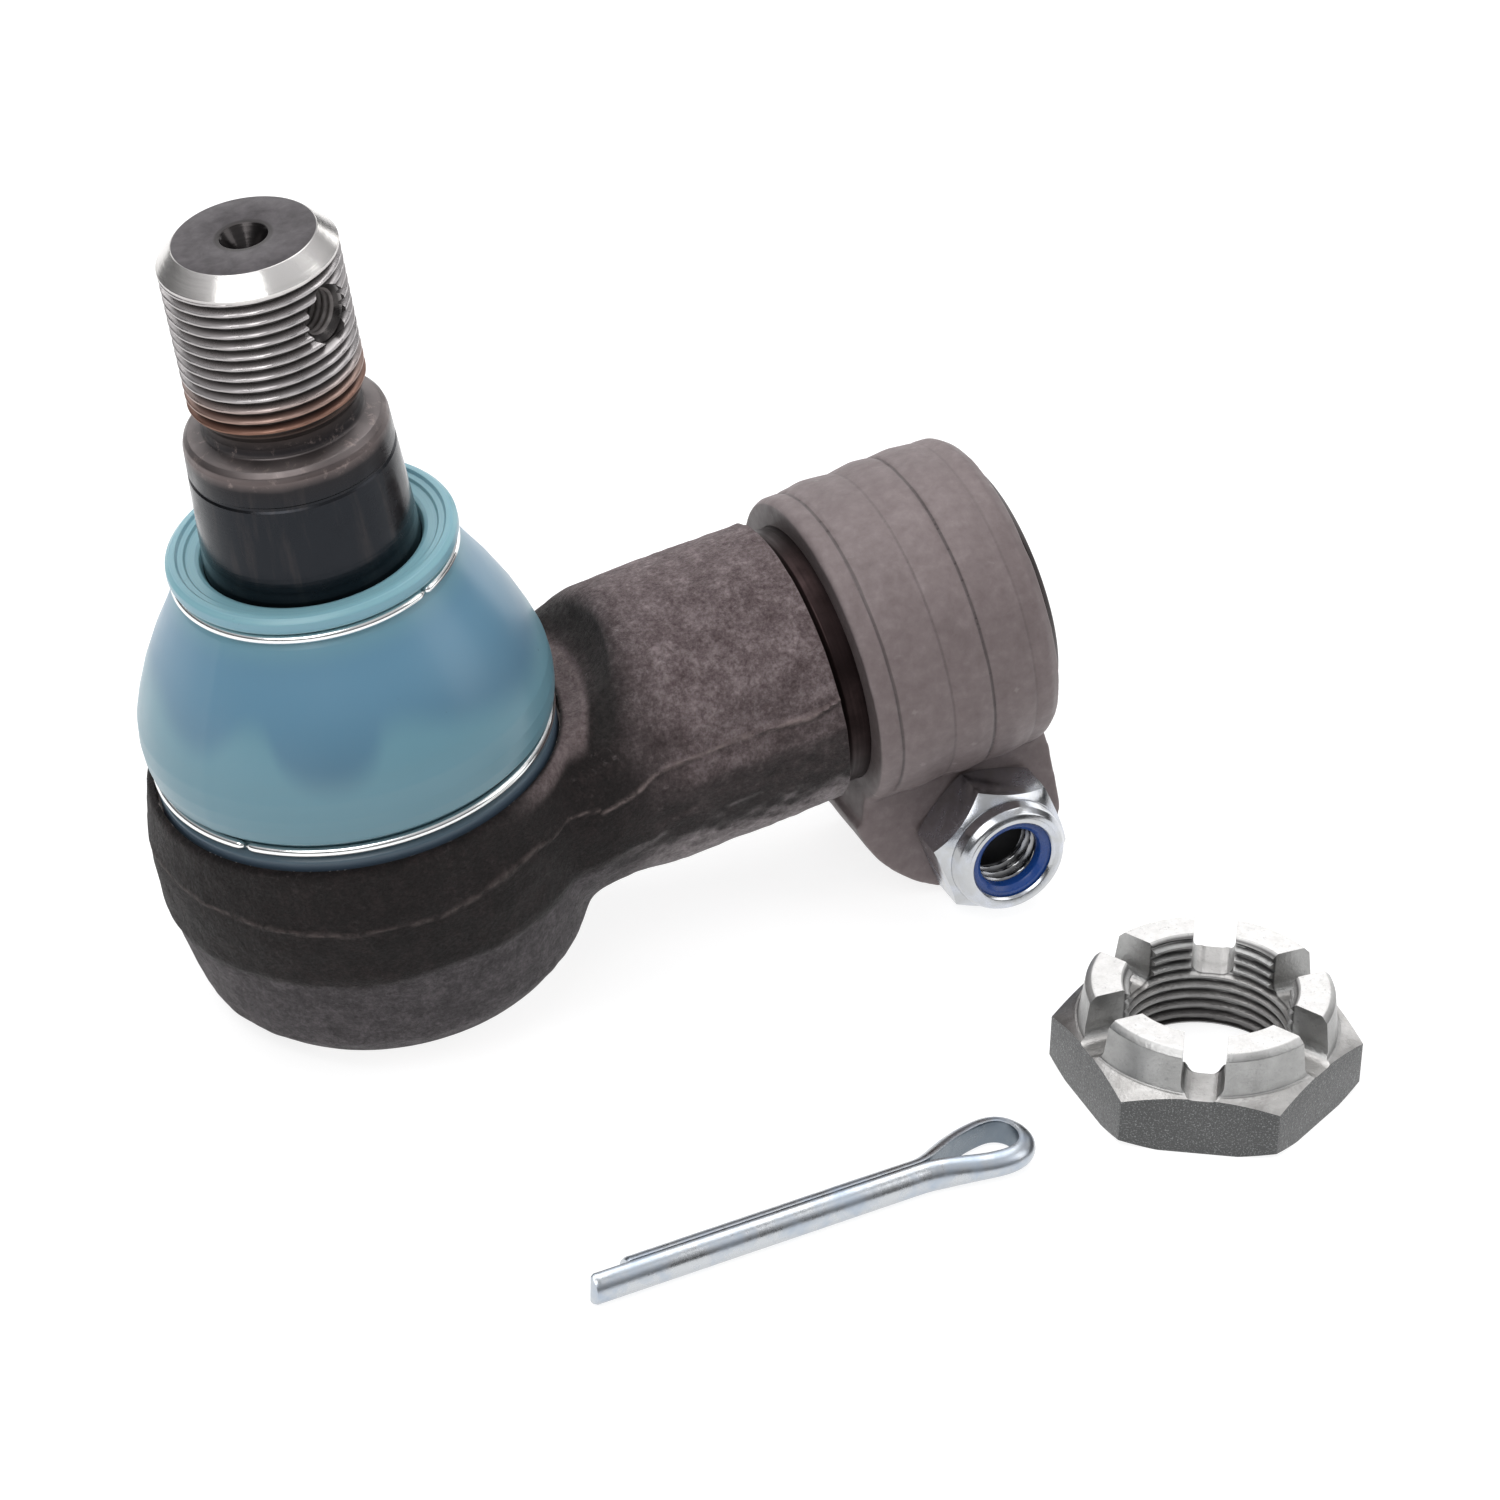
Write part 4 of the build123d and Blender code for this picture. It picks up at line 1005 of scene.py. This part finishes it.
    # the bore's blind end
    V, F = lathe_mesh([(0, 35.0), (13.2, 42.6), (14.5, 42.6), (14.5, 47.0), (13.3, 47.0), (13.1, 43.2), (0, 36.0)], 96, 'X')
    end = new_obj("shank_bore_end", V, F)
    assign(end, m_machined("bore_end", (0.30, 0.28, 0.27), 'X', 0.4, (0.1, 0.09, 0.09)))
    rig.ride(end, "housing"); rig.slot(end, "forged_steel")
    return ob


def box_mesh(lo, hi):
    x0, y0, z0 = lo; x1, y1, z1 = hi
    V = [(x0, y0, z0), (x1, y0, z0), (x1, y1, z0), (x0, y1, z0), (x0, y0, z1), (x1, y0, z1), (x1, y1, z1), (x0, y1, z1)]
    F = [(0, 3, 2, 1), (4, 5, 6, 7), (0, 1, 5, 4), (1, 2, 6, 5), (2, 3, 7, 6), (3, 0, 4, 7)]
    return V, F


# ------------------------------------------------------------------- clamp
def ear_outline():
    pts = [(63.2, -4.0), (62.2, -14.0), (61.0, -20.0)]
    for a in np.linspace(192, 268, 22):
        pts.append((81.07 + 21.5 * math.cos(math.radians(a)), -16.33 + 21.5 * math.sin(math.radians(a))))
    for a in np.linspace(275, 352, 14):
        pts.append((79.0 + 10.1 * math.cos(math.radians(a)), -27.7 + 10.1 * math.sin(math.radians(a))))
    pts += [(88.6, -20.0), (87.6, -14.0), (87.2, -4.0)]
    return pts


def prism_y(name, outline, y0, y1, inset=0.0):
    n = len(outline)
    V = [(x, y0, z) for x, z in outline] + [(x, y1, z) for x, z in outline]
    F = [tuple(range(n)), tuple(range(2 * n - 1, n - 1, -1))]
    for i in range(n):
        j = (i + 1) % n
        F.append((i, n + i, n + j, j))
    return new_obj(name, V, F)


def make_clamp():
    x0, x1, R = 61.9, 88.0, 20.9
    prof = [(15.5, x0 + 0.1), (R - 0.35, x0 + 0.05, 0.5), (R + 0.05, x0 + 1.0, 1.0), (R + 0.0, x0 + 3.1, 0.3), (R + 0.5, x0 + 6.4, 5), (R + 0.15, x0 + 10.4, 1.5), (R + 0.65, x0 + 13.6, 4), (R + 0.35, x0 + 16.0, 0.3),
            (R + 0.6, x0 + 19.0, 4), (R + 0.2, x1 - 4.0, 1.5), (R + 0.1, x1 - 1.6, 1.5), (R - 1.1, x1 - 0.1, 0.6), (15.5, x1 - 0.1)]
    band = lathe_obj("k_band", soften(prof, 0.5, 5, closed=True), 180, 'X')
    ol = ear_outline()
    e1 = prism_y("k_e1", ol, -EAR_Y + 0.05, -0.8)
    e2 = prism_y("k_e2", ol, 0.8, EAR_Y - 0.05)
    ob = join([band, e1, e2], "clamp_band")
    voxel(ob, 0.33)
    co = get_co(ob)
    # soft fillet where ear flats run into the band, rounded ear rims
    w = np.exp(-((co[:, 2] + 15.5) / 3.2) ** 2) * (np.abs(co[:, 1]) > 9.0)
    rim = sstep(-17, -22, co[:, 2])
    side = sstep(70, 64, co[:, 0]) + sstep(84, 87, co[:, 0])
    co = laplace(ob, 16, np.clip(0.012 + 0.50 * w * side + 0.20 * rim, 0, 0.6))
    no = get_no(ob)
    rx = np.hypot(co[:, 1], co[:, 2])
    d = np.zeros(len(co))
    outside = (rx > 18.6)
    up = sstep(-17.5, -13.0, co[:, 2])
    for xc, dep, wd in ((x0 + 3.1, 0.22, 0.36), (x0 + 16.0, 0.26, 0.36)):
        xl = xc + 0.12 * vnoise(co, 7.0)
        d -= dep * np.clip(1 - np.abs(co[:, 0] - xl) / wd, 0, 1) * up * outside
    for xc, dep, wd in ((x0 + 10.4, 0.10, 0.5), (x0 + 22.2, 0.10, 0.5)):
        d -= dep * np.clip(1 - np.abs(co[:, 0] - xc) / wd, 0, 1) * up * outside
    # crease between band and near ear
    zc = -15.9 - 0.02 * (co[:, 0] - 68)
    xr = sstep(66.5, 69.5, co[:, 0]) * sstep(86.5, 84.5, co[:, 0])
    d -= 0.42 * np.clip(1 - np.abs(co[:, 2] - zc) / 0.42, 0, 1) * xr * (co[:, 1] < -9)
    d += 0.05 * vnoise(co, 3.5) + 0.03 * vnoise(co + 5, 1.6) + 0.06 * vnoise(co + 13, 9)
    co2 = co + no * (d * outside)[:, None]
    co2[:, 0] = np.clip(co2[:, 0], 60.1, 89.2)
    co2[:, 1] = np.where(co2[:, 2] < -17.2, np.clip(co2[:, 1], -EAR_Y, EAR_Y), co2[:, 1])
    set_co(ob, co2)
    boolean(ob, lathe_obj("k_bore", soften([(0, 50), (17.45, 50), (17.45, 62.3, 0.2), (17.45, 87.6, 0.2), (17.45, 100), (0, 100)], 0.2, 2), 180, 'X'))
    boolean(ob, new_obj("k_gap", *box_mesh((50, -1.5, -50), (100, 1.5, -10))))
    V, F = lathe_mesh([(0, -20), (5.25, -20), (5.25, 20), (0, 20)], 64, '-Y')
    boolean(ob, new_obj("k_hole", V + np.array([BOLT_X, 0, BOLT_Z]), F))
    sharp_only(ob, 38)
    assign(ob, m_clamp())
    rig.ride(ob, "clamp"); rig.replaces(ob, "clamp"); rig.slot(ob, "clamp_steel")
    return ob


def hex_prism(af, h, n_side=14):
    """Hexagonal prism (flats at 30, 90, ...) with its sides divided."""
    R = af / math.sqrt(3)
    ring = []
    for k in range(6):
        a, b = math.radians(60 * k), math.radians(60 * k + 60)
        p, q = np.array([math.cos(a), math.sin(a)]) * R, np.array([math.cos(b), math.sin(b)]) * R
        for i in range(n_side):
            ring.append(p + (q - p) * i / n_side)
    n = len(ring)
    V = [(*p, 0) for p in ring] + [(*p, h) for p in ring]
    F = [tuple(range(n - 1, -1, -1)), tuple(range(n, 2 * n))]
    for i in range(n):
        j = (i + 1) % n
        F.append((i, j, n + j, n + i))
    return V, F


def bevelled(ob, width, seg=2, angle=30):
    m = ob.modifiers.new("v", 'BEVEL')
    m.width = width * 0.001; m.segments = seg; m.limit_method = 'ANGLE'; m.angle_limit = math.radians(angle)
    m.harden_normals = False
    return apply_mods(ob)


def make_fasteners():
    at = LAID @ Matrix.Translation((BOLT_X / 1000, -EAR_Y / 1000, BOLT_Z / 1000)) @ Matrix.Rotation(math.radians(90), 4, 'X') @ Matrix.Rotation(math.radians(42), 4, 'Z')
    zinc = m_zinc("zinc_bright", (0.50, 0.51, 0.52), 0.19, 0.10, bore=0.0047)
    V, F = hex_prism(17.0, 7.4)
    nut = new_obj("ln_hex", V, F, at)
    boolean(nut, lathe_obj("ln_cone", soften([(0, 0.01), (8.7, 0.01, 0.1), (9.95, 0.8, 0.1), (9.95, 5.6, 0.1), (8.0, 7.35, 0.1), (0, 7.35)], 0.1, 2), 160, 'Z', at), 'INTERSECT')
    bevelled(nut, 0.22, 3, 25)
    V, F = lathe_mesh(soften([(4.6, 6.2), (7.9, 6.2, 0), (7.95, 7.6, 0.5), (7.75, 8.9, 0.8), (7.2, 9.75, 0.6), (6.6, 10.0, 0.35), (5.9, 9.85, 0.3), (5.55, 9.45, 0.15), (5.75, 9.3, 0.05), (5.9, 9.2, 0.05), (5.9, 7.1, 0), (4.6, 7.0, 0)], 0.2, 5, closed=True), 160)
    collar = new_obj("ln_collar", V, F, at)
    bore = helix_obj_cut("ln_thr", -0.5, 7.6, 5.02, 4.25, 1.5, at)
    boolean(nut, bore)
    body = join([nut, collar], "clamp_lock_nut_bright")
    sharp_only(body, 33)
    assign(body, zinc)
    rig.ride(body, "clamp"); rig.replaces(body, "clamp_lock_nut"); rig.slot(body, "zinc_steel")
    ins = lathe_obj("lock_nut_ring_blue", soften([(4.35, 7.35, 0.2), (5.88, 7.3, 0.1), (5.88, 9.25, 0.1), (5.0, 9.25, 0.3), (4.35, 8.7, 0.35)], 0.2, 5, closed=True), 120, 'Z', at)
    assign(ins, m_plastic("insert_blue", (0.012, 0.060, 0.260), 0.28, 0.1))
    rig.ride(ins, "clamp"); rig.replaces(ins, "lock_nut_insert"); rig.slot(ins, "insert_plastic")
    # bolt: flanged hexagon head on the far side, plain shank, short thread
    bat = LAID @ Matrix.Translation((BOLT_X / 1000, 0, BOLT_Z / 1000)) @ Matrix.Rotation(math.radians(90), 4, 'X')
    fl = lathe_mesh(soften([(0, -18.6), (6.6, -18.6, 0.3), (7.05, -18.2, 0.3), (7.3, -13.6, 0.4), (8.15, -12.9, 0.3), (8.15, -12.3, 0.2), (7.9, -12.02, 0.1), (4.9, -12.02, 0), (4.9, 5.0, 0.0), (4.35, 5.4), (4.2, 6.0), (0, 6.0)], 0.2, 4), 120)
    b1 = new_obj("bolt_a", *fl, bat)
    V, F = hex_prism(15.0, 5.2)
    V = [(x, y, z - 18.6) for x, y, z in V]
    hx = new_obj("bolt_h", V, F, bat)
    boolean(hx, lathe_obj("bh_c", soften([(0, -18.59), (7.3, -18.59, 0.2), (8.9, -17.6, 0.2), (8.9, -13.0), (0, -13.0)], 0.1, 3), 120, 'Z', bat), 'INTERSECT')
    bevelled(hx, 0.15, 2, 25)
    V, F = helix_mesh(5.4, 15.6, 4.95, 4.15, 1.5, vee, n=96, dz=0.12, fade0=0.6, fade1=1.0)
    th = new_obj("bolt_t", V, F, bat)
    bolt = join([b1, hx, th], "clamp_bolt_zinc")
    sharp_only(bolt, 33)
    assign(bolt, m_zinc("zinc_bolt", (0.50, 0.51, 0.52), 0.26, 0.15))
    # painted shade: the bolt's end inside the lock nut is made black, a dark part standing for the shaded hole
    bolt.data.materials.append(m_plastic("bolt_end_black_shade", (0.010, 0.010, 0.010), 0.6).m)
    bolt.data.polygons.foreach_set("material_index", [1 if p.center[2] > 0.01545 else 0 for p in bolt.data.polygons])
    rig.ride(bolt, "clamp"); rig.replaces(bolt, "clamp_bolt"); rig.slot(bolt, "zinc_steel")


def helix_obj_cut(name, z0, z1, r_major, r_minor, pitch, at, n=128, dz=0.1):
    V, F = helix_mesh(z0, z1, r_major, r_minor, pitch, lambda p: 1 - vee(p) if False else vee(p), n=n, dz=dz, fade0=0, fade1=0)
    return new_obj(name, V, F, at)


def make_castle_nut():
    V, F = hex_prism(34.0, 14.0, 20)
    nut = new_obj("cn", V, F, NUT_AT)
    env = soften([(0, 0.02), (17.7, 0.02, 0.2), (19.75, 1.05, 0.2), (19.75, 6.75, 0.2), (16.75, 8.3, 0.1), (16.35, 8.35, 0.5), (15.75, 13.1, 0.3), (14.95, 13.98, 0.5), (0, 13.98)], 0.1, 4)
    boolean(nut, lathe_obj("cn_env", env, 240, 'Z', NUT_AT), 'INTERSECT')
    pre = lathe_obj("cn_pre", [(0, -1), (11.3, -1), (11.3, 0.0), (10.3, 1.0), (10.25, 13.0), (11.3, 14.0), (11.3, 15), (0, 15)], 160, 'Z', NUT_AT)
    boolean(nut, pre)
    for i in range(3):
        prof = [(-2.7, 18), (-2.7, 9.7)] + [(-2.7 + 1.7 - 1.7 * math.cos(t), 9.7 - 1.7 * math.sin(t)) for t in np.linspace(0.2, pi / 2, 6)] + \
               [(2.7 - 1.7 + 1.7 * math.cos(t), 9.7 - 1.7 * math.sin(t)) for t in np.linspace(pi / 2, 0.2, 6)] + [(2.7, 9.7), (2.7, 18)]
        n = len(prof)
        V = [(-25, y, z) for y, z in prof] + [(25, y, z) for y, z in prof]
        F = [tuple(range(n)), tuple(range(2 * n - 1, n - 1, -1))] + [(k, n + k, n + (k + 1) % n, (k + 1) % n) for k in range(n)]
        cut = new_obj("cn_slot", V, F, NUT_AT @ Matrix.Rotation(math.radians(60 * i + 30), 4, 'Z'))
        boolean(nut, cut)
    bevelled(nut, 0.28, 3, 28)
    V, F = helix_mesh(-0.6, 14.6, 11.05, 10.18, 1.5, vee, n=200, dz=0.09, fade0=0, fade1=0)
    boolean(nut, new_obj("cn_thr", V, F, NUT_AT))
    sharp_only(nut, 33)
    nut.name = "castle_nut_zinc"
    assign(nut, m_nut())
    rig.ride(nut, "castle_nut"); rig.replaces(nut, "castle_nut"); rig.slot(nut, "nut_steel")
    return nut


def make_split_pin():
    """Half-round wire: long leg, round the eye, short leg."""
    r, h = 2.16, 0.05
    # centre line of the flat side, from the long leg's end round to the short leg's end
    pts = []
    for x in np.linspace(-45.9, -1.0, 60): pts.append((x, -h))
    loop = [(-1.0, -h), (0.6, -h), (2.5, -0.3), (5.0, -0.8), (8.0, -1.5), (9.8, -1.85), (11.8, -1.98), (13.3, -1.55), (14.25, -0.6), (14.6, 0.75),
            (14.4, 2.1), (13.7, 3.15), (12.8, 3.6), (11.6, 3.68), (9.1, 3.25), (6.9, 2.6), (4.0, 1.3), (2.0, 0.4), (0.6, h), (-1.0, h)]
    def cr(P, n):
        P = [np.array(p, float) for p in P]; P = [2 * P[0] - P[1]] + P + [2 * P[-1] - P[-2]]
        out = []
        for i in range(1, len(P) - 2):
            for t in np.linspace(0, 1, n, endpoint=False):
                a, b, c, d = P[i - 1], P[i], P[i + 1], P[i + 2]
                out.append(0.5 * ((2 * b) + (-a + c) * t + (2 * a - 5 * b + 4 * c - d) * t * t + (-a + 3 * b - 3 * c + d) * t ** 3))
        return out
    pts += [tuple(p) for p in cr(loop, 7)]
    for x in np.linspace(-1.6, -40.7, 52): pts.append((x, h))
    P = np.array(pts)
    # even spacing, light smoothing near the flare
    seg = np.r_[0, np.cumsum(np.linalg.norm(np.diff(P, axis=0), axis=1))]
    n = 300
    s = np.linspace(0, seg[-1], n)
    P = np.stack([np.interp(s, seg, P[:, 0]), np.interp(s, seg, P[:, 1])], -1)
    Q = P.copy()
    for _ in range(4):
        Q[1:-1] = 0.25 * Q[:-2] + 0.5 * Q[1:-1] + 0.25 * Q[2:]
        straight = np.abs(P[:, 0]) > 1e9
        Q[(P[:, 0] < -2)] = P[(P[:, 0] < -2)]
    P = Q
    T = np.gradient(P, axis=0); T /= np.linalg.norm(T, axis=1)[:, None]
    Nn = np.stack([T[:, 1], -T[:, 0]], -1)      # outward: away from the fold
    # section: flat at 0, half disc outward, with slightly rounded edges
    m = 22
    sec = []
    for a in np.linspace(-pi / 2, pi / 2, m):
        sec.append((r * math.cos(a), r * math.sin(a)))
    sec = [(0.0, -r + 0.22), (0.03, -r + 0.07)] + [q for q in sec if q[0] > 0.12] + [(0.03, r - 0.07), (0.0, r - 0.22)]
    sec += [(0.0, y) for y in np.linspace(r - 0.5, -r + 0.5, 5)]
    k = len(sec)
    V = []
    for i in range(n):
        sc = 1.0
        endr = 0.0
        if i == 0 or i == n - 1: sc, endr = 0.88, 0
        mid = 1.0
        for (o, z) in sec:
            oo = (o - 0.9) * sc + 0.9 if sc < 1 else o
            fl = 1 - 0.19 * float(sstep(2.0, 9.5, P[i, 0]))       # the wire is drawn flatter round the eye
            V.append((P[i, 0] + Nn[i, 0] * oo, P[i, 1] + Nn[i, 1] * oo, z * sc * fl))
    F = grid_faces(n, k, False, True)
    c0 = len(V); V.append((P[0, 0] - 0.05, P[0, 1] + Nn[0, 1] * 1.0, 0)); c1 = len(V); V.append((P[-1, 0] - 0.05, P[-1, 1] + Nn[-1, 1] * 1.0, 0))
    for j in range(k):
        q = (j + 1) % k
        F.append((c0, j, q)); F.append((c1, (n - 1) * k + q, (n - 1) * k + j))
    ob = new_obj("split_pin_bright", V, F, PIN_AT)
    sharp_only(ob, 40)
    # painted shade: the flat inner faces round the eye are marked inside, to be darkened
    at = ob.data.attributes.new("inside", 'FLOAT', 'POINT')
    flat = np.zeros(len(ob.data.vertices), np.float32)
    for i in range(n):
        if P[i, 0] > -0.5:
            for j, (o, z) in enumerate(sec):
                if o < 0.02: flat[i * k + j] = 1.0
    at.data.foreach_set("value", flat)
    assign(ob, m_zinc("zinc_pin", (0.52, 0.54, 0.56), 0.27, 0.16, (0.32, 0.35, 0.39), (0.40, 0.46, 0.54), inside=(0.11, 0.14, 0.17)))
    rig.ride(ob, "split_pin"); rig.replaces(ob, "split_pin"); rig.slot(ob, "pin_steel")
    return ob


make_stud()
boot = make_boot()
low, high = split_z(boot, 24.0, "boot_lower_sleeve", "boot_upper_sleeve")
zpt = lambda z: tuple(LAID @ Vector((0, 0, z / 1000)))
for o in (low, high):
    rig.replaces(o, "dust_boot"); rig.slot(o, "boot_elastomer")
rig.blend(low, "housing", "boot", start=zpt(14.5), end=zpt(24.0))
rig.blend(high, "boot", "boot_ring", start=zpt(24.0), end=zpt(40.0))
ringm = m_zinc("wire_bright", (0.86, 0.87, 0.86), 0.12, 0.05, (0.5, 0.5, 0.5), (0.80, 0.82, 0.82))
wire_ring("upper_wire_ring", 17.50, 0.60, 40.85, -61, 1.0, ringm, "boot_ring", "boot_upper_ring")
wire_ring("lower_wire_ring", 25.07, 0.64, 14.25, -143, 1.0, ringm, "housing", "boot_lower_ring")
make_housing()
make_clamp()
make_fasteners()
make_castle_nut()
make_split_pin()

# pieces inside keep their CAD shape and get a finish of their own
inner = {
    "upper_bearing_shell": m_plastic("acetal_upper", (0.72, 0.70, 0.62), 0.35, 0.1),
    "lower_bearing_shell": m_plastic("acetal_lower", (0.72, 0.70, 0.62), 0.35, 0.1),
    "preload_spring": m_machined("spring_dark", (0.22, 0.22, 0.24), 'Z', 0.35, (0.10, 0.10, 0.11)),
    "cover_seal_ring": m_plastic("seal_black", (0.02, 0.02, 0.02), 0.5),
    "cover_plate": m_zinc("plate_pressed", (0.46, 0.46, 0.46), 0.36, 0.3, (0.20, 0.19, 0.19), (0.40, 0.40, 0.42)),
}
for nm, mt in inner.items():
    assign(frame["nodes"][nm], mt)

# ------------------------------------------------------------- floor, light
me = bpy.data.meshes.new("floor")
me.from_pydata([(-6, -6, 0), (6, -6, 0), (6, 6, 0), (-6, 6, 0)], [], [(0, 1, 2, 3)])
floor = bpy.data.objects.new("floor", me); coll.objects.link(floor)
fm = Mat("floor_white"); fm.set(color=(0.34, 0.34, 0.34), rough=0.9, spec=0.0)
fm.bsdf.inputs["Emission Color"].default_value = (1, 1, 1, 1); fm.bsdf.inputs["Emission Strength"].default_value = 0.80
assign(floor, fm)
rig.stage(floor)

world = bpy.data.worlds.new("studio"); scene.world = world
world.use_nodes = True
wn, wl = world.node_tree.nodes, world.node_tree.links
wtc = wn.new("ShaderNodeTexCoord"); wsep = wn.new("ShaderNodeSeparateXYZ"); wramp = wn.new("ShaderNodeValToRGB")
wl.new(wtc.outputs["Generated"], wsep.inputs[0]); wl.new(wsep.outputs[2], wramp.inputs["Fac"])
els = wramp.color_ramp.elements
els[0].position = 0.0; els[0].color = (0.10, 0.10, 0.11, 1)
els[1].position = 1.0; els[1].color = (1.0, 1.01, 1.03, 1)
for p, v in ((0.22, 0.14), (0.42, 0.50), (0.62, 0.95)):
    e = els.new(p); e.color = (v, v, v * 1.02, 1)
wl.new(wramp.outputs["Color"], wn["Background"].inputs["Color"])
wn["Background"].inputs["Strength"].default_value = 0.62


def area(name, loc, target, size, power, color=(1, 1, 1)):
    l = bpy.data.lights.new(name, 'AREA')
    l.shape = 'RECTANGLE'; l.size, l.size_y = size; l.energy = power; l.color = color
    o = bpy.data.objects.new(name, l); coll.objects.link(o)
    o.location = loc
    o.rotation_euler = (Vector(target) - Vector(loc)).to_track_quat('-Z', 'Y').to_euler()
    return o


area("key", (-0.75, -0.55, 1.05), (0, 0, 0.03), (0.9, 0.9), 8.0)
area("fill", (1.0, -0.55, 0.75), (0, 0, 0.03), (0.7, 0.9), 3.2)
area("top", (0.05, 0.35, 1.35), (0, 0, 0.0), (1.6, 0.9), 11.0)
area("back", (0.1, 1.2, 0.55), (0, 0, 0.04), (1.6, 0.5), 4.5)
area("rim", (1.25, 0.75, 0.35), (0.03, 0, 0.05), (0.6, 0.6), 2.2)

# ------------------------------------------------------------------ camera
az, el, ro = map(math.radians, (-18.58, 36.2, -9.66))
D, tx, ty, F_PX = 699.16, 47.896, 8.644, 5499.9
back = Vector((math.sin(az) * math.cos(el), -math.cos(az) * math.cos(el), math.sin(el)))
r0 = Vector((math.cos(az), math.sin(az), 0)); u0 = back.cross(r0)
right = r0 * math.cos(ro) + u0 * math.sin(ro)
up = -r0 * math.sin(ro) + u0 * math.cos(ro)
pos = (back * D + right * tx + up * ty) / 1000
mh = Matrix.Translation(pos) @ Matrix((right, up, back)).transposed().to_4x4()
cam = bpy.data.cameras.new("cam")
cam.sensor_width = 36; cam.lens = F_PX / 1500 * 36
cam.clip_start = 0.05; cam.clip_end = 30
co = bpy.data.objects.new("cam", cam); coll.objects.link(co)
co.matrix_world = LAID @ mh
scene.camera = co
scene.view_settings.view_transform = 'Standard'
scene.view_settings.look = 'None'
scene.view_settings.exposure = 0.0
scene.view_settings.gamma = 1.0

with open("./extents.json", "w") as f:
    json.dump({"cad": [list(map(float, p)) for p in cad_box], "visual": [list(map(float, p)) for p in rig.bounds()]}, f)
